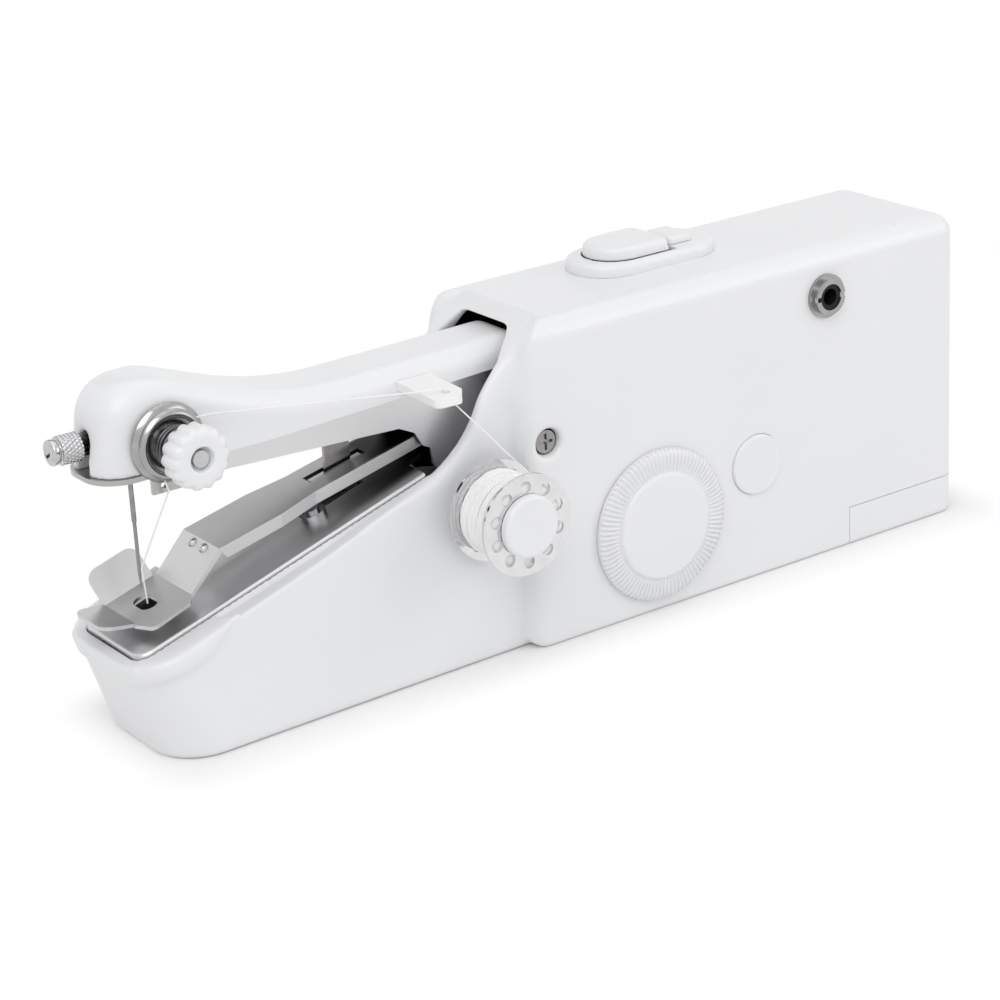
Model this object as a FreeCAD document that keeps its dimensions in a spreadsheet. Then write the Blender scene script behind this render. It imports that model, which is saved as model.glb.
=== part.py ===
import FreeCAD, Part
import math
import os
import Sketcher

# A battery-powered handheld sewing machine, in millimetres.  X runs along the
# machine (needle end at -X), Y across it (bobbin side at -Y), Z up; the origin
# is on the table under the middle of the case.

V = FreeCAD.Vector
doc = FreeCAD.newDocument("handheld_sewing_machine")
sheet = doc.addObject("Spreadsheet::Sheet", "dims")

DIMENSIONS = (
    ("case_front", -12.0, "front of the case block"),
    ("case_rear", 105.0, "rear of the case block"),
    ("case_half", 18.0, "half the depth of the case"),
    ("case_top", 68.0, "height of the case"),
    ("case_round", 4.2, "radius of the upper and rear edges"),
    ("wall", 2.0, "wall thickness"),
    ("neck_half", 11.0, "half width of the mouth"),
    ("rim_level", 50.6, "height of the rim plane above the origin"),
    ("slope", 0.303, "rise of deck and rim per mm along X"),
    ("deck_level", 51.2, "height of the steel deck above the origin"),
    ("deck_half", 11.4, "half width of the steel deck"),
    ("deck_front", -96.2, "front edge of the deck"),
    ("deck_rear", -31.0, "rear edge of the wide part of the deck"),
    ("sheet_steel", 1.0, "thickness of the sheet steel"),
    ("nose_front", -92.7, "front of the nose at table level"),
    ("nose_rake", 0.304, "how far the nose leans out per mm of height"),
    ("nose_half", 16.8, "half width at the nose"),
    ("nose_round", 10.0, "plan radius of the nose corners"),
    ("lip_out", 1.1, "how far the lip stands out from the nose"),
    ("lip_high", 4.4, "height of the lip"),
    ("pivot_x", -5.6, "arm pivot"),
    ("pivot_z", 43.2, "arm pivot"),
    ("pivot_rad", 2.0, "arm pivot pin radius"),
    ("run_gap", 0.05, "radial running clearance"),
    ("wheel_x", 20.9, "hand wheel axis"),
    ("wheel_z", 19.2, "hand wheel axis"),
    ("wheel_rad", 16.2, "hand wheel radius"),
    ("idler_x", 35.1, "idler axis"),
    ("idler_z", 25.9, "idler axis"),
    ("motor_x", 47.2, "motor axis"),
    ("motor_z", 25.4, "motor axis"),
    ("motor_rad", 10.0, "motor can radius"),
    ("throw", 2.6, "crank throw"),
    ("cheek_in", 6.0, "inner face of the arm's steel cheeks"),
    ("cheek_out", 7.0, "outer face of the arm's steel cheeks"),
    ("arm_half", 8.4, "half width of the arm cover"),
    ("needle_x", -88.6, "needle axis"),
    ("needle_tip", 30.6, "needle tip height"),
    ("post_x", -84.8, "thread tension post"),
    ("post_z", 61.1, "thread tension post"),
    ("clamp_z", 61.4, "needle clamp screw axis"),
    ("bobbin_x", -20.4, "bobbin axis"),
    ("bobbin_z", 33.4, "bobbin axis"),
    ("bobbin_rad", 10.3, "bobbin flange radius"),
    ("bobbin_back", -18.5, "back face of the bobbin"),
    ("bobbin_wide", 11.4, "bobbin width"),
    ("jack_x", 66.7, "power jack axis"),
    ("jack_z", 57.9, "power jack axis"),
    ("jack_bore", 1.8, "power jack bore radius"),
    ("switch_x", 35.6, "middle of the switch bezel"),
    ("switch_y", 4.2, "middle of the switch bezel"),
    ("bezel_half", 17.3, "half length of the bezel"),
    ("bezel_rad", 8.8, "bezel end radius"),
    ("hatch_front", 73.0, "front edge of the battery cover"),
    ("hatch_top", 8.8, "upper edge of the battery cover"),
    ("seam", 0.15, "gap round the battery cover"),
    ("foot_rise", 3.0, "top of the presser foot above the deck"),
    ("strip_half", 5.5, "half width of the presser strip"),
    ("strip_slope", 0.231, "rise of the presser strip per mm"),
)
for row, (alias, value, note) in enumerate(DIMENSIONS, start=1):
    sheet.set("A%d" % row, note)
    sheet.set("B%d" % row, str(value))
    sheet.setAlias("B%d" % row, alias)
doc.recompute()


def val(expression):
    """The number that a sheet expression stands for."""
    return float(sheet.evalExpression(str(expression)))


def size(alias):
    return float(sheet.get(alias))


def place(obj, *base):
    for axis, expression in zip("xyz", base):
        obj.setExpression("Placement.Base." + axis, str(expression))
    return obj


def block(name, x0, x1, y0, y1, z0, z1):
    obj = doc.addObject("Part::Box", name)
    obj.setExpression("Length", "(%s) - (%s)" % (x1, x0))
    obj.setExpression("Width", "(%s) - (%s)" % (y1, y0))
    obj.setExpression("Height", "(%s) - (%s)" % (z1, z0))
    return place(obj, x0, y0, z0)


TURNS = {
    "X": FreeCAD.Rotation(V(0, 1, 0), 90),
    "Y": FreeCAD.Rotation(V(1, 0, 0), -90),
    "Z": FreeCAD.Rotation(),
}


def rod(name, axis, radius, start, end, at):
    """A cylinder along an axis from start to end; at holds the other two coordinates."""
    obj = doc.addObject("Part::Cylinder", name)
    obj.setExpression("Radius", str(radius))
    obj.setExpression("Height", "(%s) - (%s)" % (end, start))
    obj.Placement = FreeCAD.Placement(V(), TURNS[axis])
    base = list(at)
    base.insert("XYZ".index(axis), start)
    return place(obj, *base)


def cone(name, axis, radius0, radius1, start, end, at):
    obj = doc.addObject("Part::Cone", name)
    obj.setExpression("Radius1", str(radius0))
    obj.setExpression("Radius2", str(radius1))
    obj.setExpression("Height", "(%s) - (%s)" % (end, start))
    obj.Placement = FreeCAD.Placement(V(), TURNS[axis])
    base = list(at)
    base.insert("XYZ".index(axis), start)
    return place(obj, *base)


def fuse(name, *parts):
    obj = doc.addObject("Part::MultiFuse", name)
    obj.Shapes = list(parts)
    obj.Refine = True
    return obj


def cut(name, base, *tools):
    obj = doc.addObject("Part::Cut", name)
    obj.Base = base
    obj.Tool = tools[0] if len(tools) == 1 else fuse(name + "_tools", *tools)
    return obj


def common(name, first, second):
    obj = doc.addObject("Part::Common", name)
    obj.Base = first
    obj.Tool = second
    return obj


def solid(name, shape):
    obj = doc.addObject("Part::Feature", name)
    obj.Shape = shape
    return obj



PLANE_AXES = {"XY": ("x", "y"), "XZ": ("x", "z"), "YZ": ("y", "z")}


def round_edges(body, radius, wanted):
    """A fillet on the edges of a body's tip that the test picks."""
    doc.recompute()
    tip = body.Tip
    names = [
        "Edge%d" % (i + 1) for i, edge in enumerate(tip.Shape.Edges) if wanted(edge)
    ]
    fillet = body.newObject("PartDesign::Fillet", body.Name + "_round")
    fillet.Base = (tip, names)
    fillet.setExpression("Radius", str(radius))
    body.Tip = fillet
    doc.recompute()
    return body


def taper_round(name, base, radius_at, wanted):
    """A fillet whose radius follows the place along the edges that the test picks."""
    doc.recompute()
    obj = doc.addObject("Part::Fillet", name)
    obj.Base = base
    obj.Edges = [
        (i + 1, radius_at(edge.firstVertex(True).Point), radius_at(edge.lastVertex(True).Point))
        for i, edge in enumerate(base.Shape.Edges)
        if wanted(edge)
    ]
    doc.recompute()
    return obj


def soften(name, base, radius, wanted):
    """A fillet on the edges of any shape that the test picks."""
    doc.recompute()
    fillet = doc.addObject("Part::Fillet", name)
    fillet.Base = base
    fillet.Edges = [(i + 1, radius, radius) for i, e in enumerate(base.Shape.Edges) if wanted(e)]
    doc.recompute()
    return fillet


def round_rim(name, base, radius, y, at, reach):
    """A fillet on the round edges of a face at y, of a radius about an axis."""
    return soften(name, base, radius, lambda e: all(
        abs(v.Point.y - y) < 0.01 and abs(math.hypot(v.Point.x - at[0], v.Point.z - at[1]) - reach) < 0.01
        for v in e.Vertexes) and e.Length > 1)


def outline_body(name, plane, corners, low, high, lean=None):
    """A padded outline; a corner with a third value is rounded to that radius."""
    body = doc.addObject("PartDesign::Body", name)
    role = plane + "_Plane"
    support = next(f for f in body.Origin.OriginFeatures if f.Role == role)
    sketch = body.newObject("Sketcher::SketchObject", name + "_outline")
    sketch.AttachmentSupport = [(support, "")]
    sketch.MapMode = "FlatFace"
    first = "-(%s)" % high if plane == "XZ" else str(low)
    sketch.setExpression("AttachmentOffset.Base.z", first)
    points = [V(val(c[0]), val(c[1]), 0) for c in corners]
    count = len(points)
    for i in range(count):
        sketch.addGeometry(Part.LineSegment(points[i], points[(i + 1) % count]), False)
    for i in range(count):
        sketch.addConstraint(Sketcher.Constraint("Coincident", i, 2, (i + 1) % count, 1))
    for i, corner in enumerate(corners):
        for kind, expression in zip(("DistanceX", "DistanceY"), corner):
            rule = Sketcher.Constraint(kind, -1, 1, i, 1, val(expression))
            index = sketch.addConstraint(rule)
            if "dims" in str(expression):
                sketch.setExpression("Constraints[%d]" % index, str(expression))
    pad = body.newObject("PartDesign::Pad", name + "_pad")
    pad.Profile = sketch
    pad.setExpression("Length", "(%s) - (%s)" % (high, low))
    if lean is not None:
        pad.UseCustomVector = True
        pad.Direction = lean
    body.Tip = pad
    doc.recompute()
    along = ({"x", "y", "z"} - set(PLANE_AXES[plane])).pop()
    level = val(high) if plane == "XZ" else val(low)

    def at_corner(edge, point):
        ends = [v.Point for v in edge.Vertexes]
        if len(ends) != 2 or abs(getattr(ends[0], along) - getattr(ends[1], along)) < 1e-6:
            return False
        for end in ends:
            flat = [getattr(end, a) for a in PLANE_AXES[plane]]
            near = math.hypot(flat[0] - point.x, flat[1] - point.y) < 1e-4
            if near and abs(getattr(end, along) - level) < 1e-4:
                return True
        return False

    for radius in dict.fromkeys(c[2] for c in corners if len(c) > 2):
        marked = [p for c, p in zip(corners, points) if len(c) > 2 and c[2] == radius]
        round_edges(body, radius, lambda e: any(at_corner(e, p) for p in marked))
    return body


def ends_within(edge, test):
    return all(test(v.Point) for v in edge.Vertexes)


def biarc_wire(points, tangents):
    """Two arcs from each point to the next, tangent to the given directions."""
    edges = []

    def arc(start, corner, end, reach):
        chord = (start + end) * 0.5
        cosine = min(1.0, (end - start).Length * 0.5 / reach)
        if cosine > 1 - 1e-9:
            edges.append(Part.LineSegment(start, end).toShape())
            return
        middle = chord + (corner - chord) * (cosine / (1 + cosine))
        edges.append(Part.Arc(start, middle, end).toShape())

    for p0, p1, t0, t1 in zip(points, points[1:], tangents, tangents[1:]):
        step = p1 - p0
        side = step.dot(t0 + t1)
        bend = 2 - 2 * t0.dot(t1)
        if bend < 1e-9:
            edges.append(Part.LineSegment(p0, p1).toShape())
            continue
        reach = (-side + math.sqrt(side * side + bend * step.dot(step))) / bend
        corner0 = p0 + t0 * reach
        corner1 = p1 - t1 * reach
        joint = (corner0 + corner1) * 0.5
        arc(p0, corner0, joint, reach)
        arc(joint, corner1, p1, reach)
    return edges


def tube_along(edges, radius):
    """A round tube along a chain of edges."""
    wire = Part.Wire(edges)
    start = wire.Edges[0]
    origin = start.valueAt(start.FirstParameter)
    heading = start.tangentAt(start.FirstParameter)
    ring = Part.Wire([Part.Circle(origin, heading, radius).toShape()])
    return wire.makePipeShell([ring], True, False)


def coil(name, radius, wire_radius, pitch, turns, start, axis_x, axis_z):
    """A helix about a Y axis, from start towards -Y, with short straight ends."""
    steps = int(round(turns * 4))
    slope = pitch / (2 * math.pi * radius)
    scale = 1 / math.sqrt(1 + slope * slope)
    points, tangents = [], []
    for i in range(steps + 1):
        angle = i * math.pi / 2
        points.append(
            V(axis_x + radius * math.cos(angle), start - pitch * i / 4, axis_z + radius * math.sin(angle))
        )
        tangents.append(V(-math.sin(angle) * scale, -slope * scale, math.cos(angle) * scale))
    edges = biarc_wire(points, tangents)
    lead = points[0] - tangents[0] * (2 * wire_radius)
    trail = points[-1] + tangents[-1] * (2 * wire_radius)
    edges.insert(0, Part.LineSegment(lead, points[0]).toShape())
    edges.append(Part.LineSegment(points[-1], trail).toShape())
    shape = tube_along(edges, wire_radius)
    print("%s: least gap between turns %.2f mm" % (name, least_gap(edges, wire_radius)))
    return solid(name, shape)


def least_gap(edges, wire_radius):
    """The least distance between points of the path over half a turn apart."""
    points = [p for e in edges for p in e.discretize(7)[:-1]]
    along = [0.0]
    for a, b in zip(points, points[1:]):
        along.append(along[-1] + (b - a).Length)
    nearest = 1e9
    for i in range(len(points)):
        for j in range(i + 1, len(points)):
            if along[j] - along[i] > 8 * wire_radius + 3:
                nearest = min(nearest, (points[i] - points[j]).Length)
    return nearest - 2 * wire_radius


def thread(name, points, radius, bend):
    """A thread drawn tight through points, with a small arc at each of them."""
    edges = []
    here = points[0]
    for before, corner, after in zip(points, points[1:], points[2:]):
        back = (before - corner).normalize()
        ahead = (after - corner).normalize()
        half = math.acos(max(-1.0, min(1.0, back.dot(ahead)))) / 2
        reach = bend / math.tan(half)
        start = corner + back * reach
        end = corner + ahead * reach
        toward = (back + ahead).normalize()
        middle = corner + toward * (bend / math.sin(half) - bend)
        edges.append(Part.LineSegment(here, start).toShape())
        edges.append(Part.Arc(start, middle, end).toShape())
        here = end
    edges.append(Part.LineSegment(here, points[-1]).toShape())
    return solid(name, tube_along(edges, radius))


def gear(name, teeth, module, bore, y0, y1, x, z, phase):
    """A spur gear with stub teeth about a Y axis; phase turns a tooth to an angle."""
    pitch = teeth * module / 2
    tip = pitch + 0.75 * module
    root = pitch - 1.0 * module
    half = (math.pi * module / 2 - 0.16) / 2
    corners = []
    for i in range(teeth):
        middle = phase + 2 * math.pi * i / teeth
        for radius, width in (
            (root, half + 0.42 * module),
            (tip, half - 0.36 * module),
        ):
            corners.append((radius, middle - width / radius, 0 if radius == root else 1))
        for radius, width in (
            (tip, half - 0.36 * module),
            (root, half + 0.42 * module),
        ):
            corners.append((radius, middle + width / radius, 0))
    points = [V(x + r * math.cos(a), y0, z + r * math.sin(a)) for r, a, _ in corners]
    wire = Part.makePolygon(points + [points[0]])
    disc = Part.Face(wire).extrude(V(0, y1 - y0, 0))
    hole = Part.makeCylinder(bore, y1 - y0 + 2, V(x, y0 - 1, z), V(0, 1, 0))
    return solid(name, disc.cut(hole))


nodes = {}


def node(name, obj):
    obj.Label = name
    nodes[name] = obj
    return obj


def deck_at(x, above="0"):
    return "dims.deck_level + dims.slope * (%s) + (%s)" % (x, above)


def rim_at(x, above="0"):
    return "dims.rim_level + dims.slope * (%s) + (%s)" % (x, above)


# The case: a block with rounded edges, and in front of it a narrower jaw whose
# rim follows the slope of the deck and then sweeps up to the mouth.
case_block = outline_body(
    "case_block",
    "XZ",
    [
        ("dims.case_front", 0),
        ("dims.case_rear", 0),
        ("dims.case_rear", "dims.case_top"),
        ("dims.case_front", "dims.case_top"),
    ],
    "-dims.case_half",
    "dims.case_half",
)
REAR, TOP, HALF = size("case_rear"), size("case_top"), size("case_half")
FRONT = size("case_front")
round_edges(
    case_block,
    "dims.case_round",
    lambda e: ends_within(e, lambda p: p.z > TOP - 0.01 and abs(p.y) > HALF - 0.01)
    or ends_within(e, lambda p: p.x > REAR - 0.01 and abs(p.y) > HALF - 0.01)
    or ends_within(e, lambda p: p.x > REAR - 0.01 and p.z > TOP - 0.01)
    or ends_within(e, lambda p: p.x < FRONT + 0.01 and abs(p.y) > HALF - 0.01)
    or ends_within(e, lambda p: p.x < FRONT + 0.01 and p.z > TOP - 0.01),
)
round_edges(case_block, 1.2, lambda e: ends_within(e, lambda p: p.z < 0.01 and p.x > FRONT + 0.01)
            or ends_within(e, lambda p: p.z < 0.01 and abs(p.y) > HALF - 0.01))

LEAN = V(-size("nose_rake"), 0, 1)


def nose_plan(name, inset, front, rear, half_rear, low, high):
    """The plan of the jaw, leaning out with the nose, drawn in by an inset."""
    corners = [
        (rear, "-(%s) + (%s)" % (half_rear, inset)),
        ("(%s) + (%s)" % (front, inset), "-dims.nose_half + (%s)" % inset, "dims.nose_round"),
        ("(%s) + (%s)" % (front, inset), "dims.nose_half - (%s)" % inset, "dims.nose_round"),
        (rear, "(%s) - (%s)" % (half_rear, inset)),
    ]
    return outline_body(name, "XY", corners, low, high, LEAN)


jaw_block = nose_plan("jaw_block", 0, "dims.nose_front", 20, 13.7, 0, "dims.case_top")
round_edges(jaw_block, 1.6, lambda e: ends_within(e, lambda p: p.z < 0.01 and p.x < 20.1)
            and not ends_within(e, lambda p: p.x > 19.9))
jaw_profile = outline_body(
    "jaw_profile",
    "XZ",
    [
        (25, -2),
        (-112, -2),
        (-112, rim_at(-112)),
        (-23.9, rim_at(-23.9), 24),
        (-12.2, 66.8),
        (25, 66.8),
    ],
    -25,
    25,
)
jaw = common("jaw", jaw_block, jaw_profile)
lip_plan = nose_plan("lip_plan", "-dims.lip_out", "dims.nose_front + 0.6", -40, 15.2, 0, 45)
lip_band = outline_body(
    "lip_band",
    "XZ",
    [
        (-112, rim_at(-112)),
        (-78, rim_at(-78)),
        (-84, rim_at(-84, "-dims.lip_high")),
        (-112, rim_at(-112, "-dims.lip_high")),
    ],
    -25,
    25,
)
lip_raw = common("lip_raw", lip_plan, lip_band)


def lip_edge(edge):
    """A long outer edge of the lip, above, below or at its slanting ends."""
    middle = edge.valueAt((edge.FirstParameter + edge.LastParameter) / 2)
    drop = size("rim_level") + size("slope") * middle.x - middle.z
    on_top = abs(drop) < 0.05 and middle.x < -78.5
    below = abs(drop - size("lip_high")) < 0.05 and middle.x < -84.5
    end = 0.1 < drop < size("lip_high") - 0.1 and abs(middle.x + 81) < 0.6 and abs(middle.y) > 10
    return on_top or below or end


lip = soften("lip", lip_raw, 0.8, lip_edge)
outer = fuse("outer", case_block, jaw, lip)

# The hollow: the case, the mouth with its cut corners, the jaw under the rim,
# and the slot in the top of the jaw that the steel deck fills.
case_hollow = block(
    "case_hollow", -9.5, "dims.case_rear - dims.wall", "-dims.case_half + dims.wall",
    "dims.case_half - dims.wall", "dims.wall", "dims.case_top - dims.wall",
)
mouth = outline_body(
    "mouth",
    "YZ",
    [
        ("-dims.neck_half", "dims.wall"),
        ("dims.neck_half", "dims.wall"),
        ("dims.neck_half", 60),
        (7.6, 65.6),
        (-7.6, 65.6),
        ("-dims.neck_half", 60),
    ],
    -34,
    -9,
)
jaw_hollow_plan = nose_plan("jaw_hollow_plan", "dims.wall", "dims.nose_front", -20, 15, "dims.wall", 60)
jaw_hollow_top = outline_body(
    "jaw_hollow_top",
    "XZ",
    [
        (-19, 0),
        (-112, 0),
        (-112, rim_at(-112, -2.6)),
        (-30, rim_at(-30, -2.6)),
        (-19, rim_at(-30, -2.6)),
    ],
    -25,
    25,
)
jaw_hollow = common("jaw_hollow", jaw_hollow_plan, jaw_hollow_top)
deck_slot = outline_body(
    "deck_slot",
    "XY",
    [
        ("dims.deck_front - 0.15", "-dims.deck_half - 0.15", 3.2),
        ("dims.deck_front - 0.15", "dims.deck_half + 0.15", 3.2),
        (-30, "dims.deck_half + 0.15"),
        (-30, "-dims.deck_half - 0.15"),
    ],
    16.8,
    60,
)
hollow = fuse("hollow", case_hollow, mouth, jaw_hollow, deck_slot)
shell = cut("shell", outer, hollow)

# Posts for the case screws, sleeves for the arm pivot and the main shaft, and
# the wall in front of the battery bay.
POSTS = ((64.0, 43.0), (64.0, 8.5), (3.0, 8.5))
posts = [
    rod("post_%d" % i, "Y", 3.2, "-dims.case_half + 1", "dims.case_half - 1", at)
    for i, at in enumerate(POSTS)
]
pivot_front = rod("pivot_sleeve_front", "Y", 4.6, "-dims.case_half + 1", "-dims.arm_half - 0.6",
                  ("dims.pivot_x", "dims.pivot_z"))
pivot_rear = rod("pivot_sleeve_rear", "Y", 4.6, "dims.arm_half + 0.6", "dims.case_half - 1",
                 ("dims.pivot_x", "dims.pivot_z"))
shaft_sleeve = rod("shaft_sleeve", "Y", 5.0, "-dims.case_half + 1", -12.6, ("dims.wheel_x", "dims.wheel_z"))
axle_sleeve = rod("axle_sleeve", "Y", 2.6, "-dims.case_half + 1", -15.7, ("dims.idler_x", "dims.idler_z"))
spindle_sleeve = rod("spindle_sleeve", "Y", 4.6, -18.1, -11.0, ("dims.bobbin_x", "dims.bobbin_z"))
bay_wall = block("bay_wall", 71.2, 72.6, "-dims.case_half + 1.9", "dims.case_half - 1.9", 1.9, "dims.case_top - 1.9")
ribbed = fuse("ribbed", shell, pivot_front, pivot_rear, shaft_sleeve, axle_sleeve, spindle_sleeve,
              bay_wall, *posts)

screw_holes = [rod("screw_hole_%d" % i, "Y", 1.5, -10, 20, at) for i, at in enumerate(POSTS)]
screw_wells = [rod("screw_well_%d" % i, "Y", 3.0, 16.4, 20, at) for i, at in enumerate(POSTS)]
pivot_hole = rod("pivot_hole", "Y", "dims.pivot_rad", -15.5, 15.5, ("dims.pivot_x", "dims.pivot_z"))
pivot_wells = [
    rod("pivot_well_front", "Y", 2.9, -20, -15.5, ("dims.pivot_x", "dims.pivot_z")),
    rod("pivot_well_rear", "Y", 2.9, 15.5, 20, ("dims.pivot_x", "dims.pivot_z")),
    cone("pivot_flare_front", "Y", 4.1, 2.8, -18.6, -17.3, ("dims.pivot_x", "dims.pivot_z")),
    cone("pivot_flare_rear", "Y", 2.8, 4.1, 17.3, 18.6, ("dims.pivot_x", "dims.pivot_z")),
]
shaft_hole = rod("shaft_hole", "Y", 4.0, -20, -12, ("dims.wheel_x", "dims.wheel_z"))
plug_hole = rod("plug_hole", "Y", 6.6, -20, -15, ("dims.motor_x", "dims.motor_z"))
axle_hole = rod("axle_hole", "Y", 1.2, -17, -15, ("dims.idler_x", "dims.idler_z"))
spindle_hole = rod("spindle_hole", "Y", 2.0, -20, -10, ("dims.bobbin_x", "dims.bobbin_z"))
jack_hole = rod("jack_hole", "Y", 3.9, -20, -15, ("dims.jack_x", "dims.jack_z"))
switch_hole = block("switch_hole", "dims.switch_x - 14.6", "dims.switch_x + 14.6",
                    "dims.switch_y - 6", "dims.switch_y + 6", 64, 70)
hatch_hole = block("hatch_hole", "dims.hatch_front", 110, -25, 25, -5, "dims.hatch_top")
pierced = cut("pierced", ribbed, pivot_hole, shaft_hole, plug_hole, axle_hole, spindle_hole,
              jack_hole, switch_hole, hatch_hole, *screw_holes, *screw_wells, *pivot_wells)
front_half = block("front_half", -120, 120, -30, 0, -5, 80)
rear_half = block("rear_half", -120, 120, 0, 30, -5, 80)
node("front_shell", common("front_shell", pierced, front_half))
node("rear_shell", common("rear_shell", pierced, rear_half))

# The battery cover: the lower rear corner of the case, drawn off along +X.
hatch_zone = block("hatch_zone", "dims.hatch_front + dims.seam", 110, -25, 25, -5,
                   "dims.hatch_top - dims.seam")
hatch_outer = common("hatch_outer", case_block, hatch_zone)
hatch_hollow = block("hatch_hollow", 60, "dims.case_rear - dims.wall", "-dims.case_half + dims.wall",
                     "dims.case_half - dims.wall", "dims.wall", 20)
node("battery_cover", cut("battery_cover", hatch_outer, hatch_hollow))
node("cover_contact", block("cover_contact", 76, 101, -13, 13, "dims.wall", "dims.wall + 0.4"))

# Contacts at the top of the battery bay: a plate and a cup for each cell.
contact_plate = block("contact_plate", 73.4, 102.4, -15, 15, 59.5, 60.1)
CELLS = ((81.0, -7.4), (81.0, 7.4), (95.6, -7.4), (95.6, 7.4))
cups = [cone("cup_%d" % i, "Z", 1.6, 3.4, 56.4, 59.5, at) for i, at in enumerate(CELLS)]
node("battery_contacts", fuse("battery_contacts", contact_plate, *cups))

# Fastenings: countersunk case screws from the rear, and one at each end of the
# pivot pin; each has a cross recess.


def cross_screw(name, at, sign, shank_end, face=17.4, reach=2.6):
    """A pan head screw along Y with a cross cut in its head."""
    face, seat = face * sign, (face - 0.9) * sign
    low, high = sorted((face, seat))
    head = rod(name + "_head", "Y", reach, low, high, at)
    low, high = sorted((seat, shank_end))
    shank = rod(name + "_shank", "Y", 1.4, low, high, at)
    x, z = at
    low, high = sorted((face + 0.1 * sign, face - 0.6 * sign))
    bars = [
        block(name + "_bar_x", "(%s) - 1.7" % x, "(%s) + 1.7" % x, low, high, "(%s) - 0.3" % z, "(%s) + 0.3" % z),
        block(name + "_bar_z", "(%s) - 0.3" % x, "(%s) + 0.3" % x, low, high, "(%s) - 1.7" % z, "(%s) + 1.7" % z),
    ]
    return cut(name, fuse(name + "_body", head, shank), *bars)


screws = [cross_screw("case_screw_%d" % i, at, 1, -8) for i, at in enumerate(POSTS)]
PIVOT = ("dims.pivot_x", "dims.pivot_z")
node("case_screws", fuse("case_screws", *screws))
node("pivot_screws", fuse("pivot_screws", cross_screw("pivot_screw_front", PIVOT, -1, -12, 16.5, 2.4),
                          cross_screw("pivot_screw_rear", PIVOT, 1, 12, 16.5, 2.4)))
pin_bores = [rod("pin_bore_front", "Y", 1.4, -20, -12, PIVOT), rod("pin_bore_rear", "Y", 1.4, 12, 20, PIVOT)]
node("pivot_pin", cut("pivot_pin", rod("pin_rod", "Y", "dims.pivot_rad - 0.01", -15.5, 15.5, PIVOT), *pin_bores))

# The deck: a steel channel turned down over the open top of the jaw, with a
# tongue at the rear that the presser carriage slides on.
deck_top = outline_body(
    "deck_top",
    "XZ",
    [
        (-110, deck_at(-110)),
        (0, deck_at(0)),
        (0, deck_at(0, "-dims.sheet_steel")),
        (-110, deck_at(-110, "-dims.sheet_steel")),
    ],
    -20,
    20,
)
deck_plan = outline_body(
    "deck_plan",
    "XY",
    [
        ("dims.deck_front", "-dims.deck_half", 3),
        ("dims.deck_front", "dims.deck_half", 3),
        ("dims.deck_rear", "dims.deck_half"),
        ("dims.deck_rear", 4.2),
        (-11, 4.2),
        (-11, -4.2),
        ("dims.deck_rear", -4.2),
        ("dims.deck_rear", "-dims.deck_half"),
    ],
    10,
    60,
)
deck_sheet = common("deck_sheet", deck_top, deck_plan)
flange_side = outline_body(
    "flange_side",
    "XZ",
    [
        (-93, deck_at(-93, -0.5)),
        ("dims.deck_rear", deck_at("dims.deck_rear", -0.5)),
        ("dims.deck_rear", deck_at("dims.deck_rear", -6)),
        (-93, deck_at(-93, -6)),
    ],
    "-dims.deck_half",
    "dims.deck_half",
)
flange_gap = block("flange_gap", -120, 0, "-dims.deck_half + dims.sheet_steel",
                   "dims.deck_half - dims.sheet_steel", 0, 80)
flanges = cut("flanges", flange_side, flange_gap)
deck_body = fuse("deck_body", deck_sheet, flanges)
needle_port = block("needle_port", "dims.needle_x - 2", "dims.needle_x + 6.0", -3, 6, 10, 60)
strap_port = block("strap_port", -48.2, -39, -1.4, 1.4, 20, 60)
deck_pierced = cut("deck_pierced", deck_body, needle_port, strap_port)
SLOPE, DECK = size("slope"), size("deck_level")


def on_deck_rim(edge):
    """An outer edge of the upper face of the deck."""
    middle = edge.valueAt((edge.FirstParameter + edge.LastParameter) / 2)
    on_top = ends_within(edge, lambda p: abs(p.z - DECK - SLOPE * p.x) < 1e-3)
    outside = abs(middle.y) > size("deck_half") - 3.2 or middle.x < size("deck_front") + 0.5
    return on_top and outside and middle.x < size("deck_rear") - 0.5


node("deck_channel", soften("deck_channel", deck_pierced, 0.7, on_deck_rim))
DECK_TURN = FreeCAD.Rotation(V(0, 1, 0), -math.degrees(math.atan(SLOPE)))


def deck_rod(name, radius, low, high, x, y):
    """A cylinder square to the deck, between two heights above it."""
    obj = doc.addObject("Part::Cylinder", name)
    obj.setExpression("Radius", str(radius))
    obj.setExpression("Height", "(%s) - (%s)" % (high, low))
    foot = V(x, y, DECK + SLOPE * x) + DECK_TURN.multVec(V(0, 0, low))
    obj.Placement = FreeCAD.Placement(foot, DECK_TURN)
    return obj


node("deck_stud", fuse("deck_stud", deck_rod("stud_head", 2.8, 0, 1.3, -51.3, -1.9),
                       deck_rod("stud_tip", 1.7, 1.3, 1.9, -51.3, -1.9)))

# The arm: a steel channel with a white cover, hung on the pivot pin.  Its tail
# ends in a round window that the crank pin turns in.
TAIL_X = "dims.wheel_x - dims.throw * 0.671"
TAIL_Z = "dims.wheel_z - dims.throw * 0.741"
cheek_plate = outline_body(
    "cheek_plate",
    "XZ",
    [
        (-92, 60.6),
        (-92, 55.9),
        (-80, 55.9),
        (-76, 52.2),
        (-33.5, 50.4),
        (-29.8, 48.6, 1.6),
        (-28.2, 45.6, 1.2),
        (-26.2, 44.6),
        (-26.2, 41.5),
        (-22, 36),
        (-8, 33.5),
        (9.2, 15.0),
        (TAIL_X, "%s - 9.3" % TAIL_Z),
        ("%s + 9.3" % TAIL_X, "%s + 2" % TAIL_Z),
        (6, 42),
        (2.4, 50),
        (-5.1, 57.4),
        (-5.1, 60.6),
    ],
    "-dims.cheek_out",
    "dims.cheek_out",
)
cheek_gap = block("cheek_gap", -95, 40, "-dims.cheek_in", "dims.cheek_in", 0, 59.6)
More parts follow.
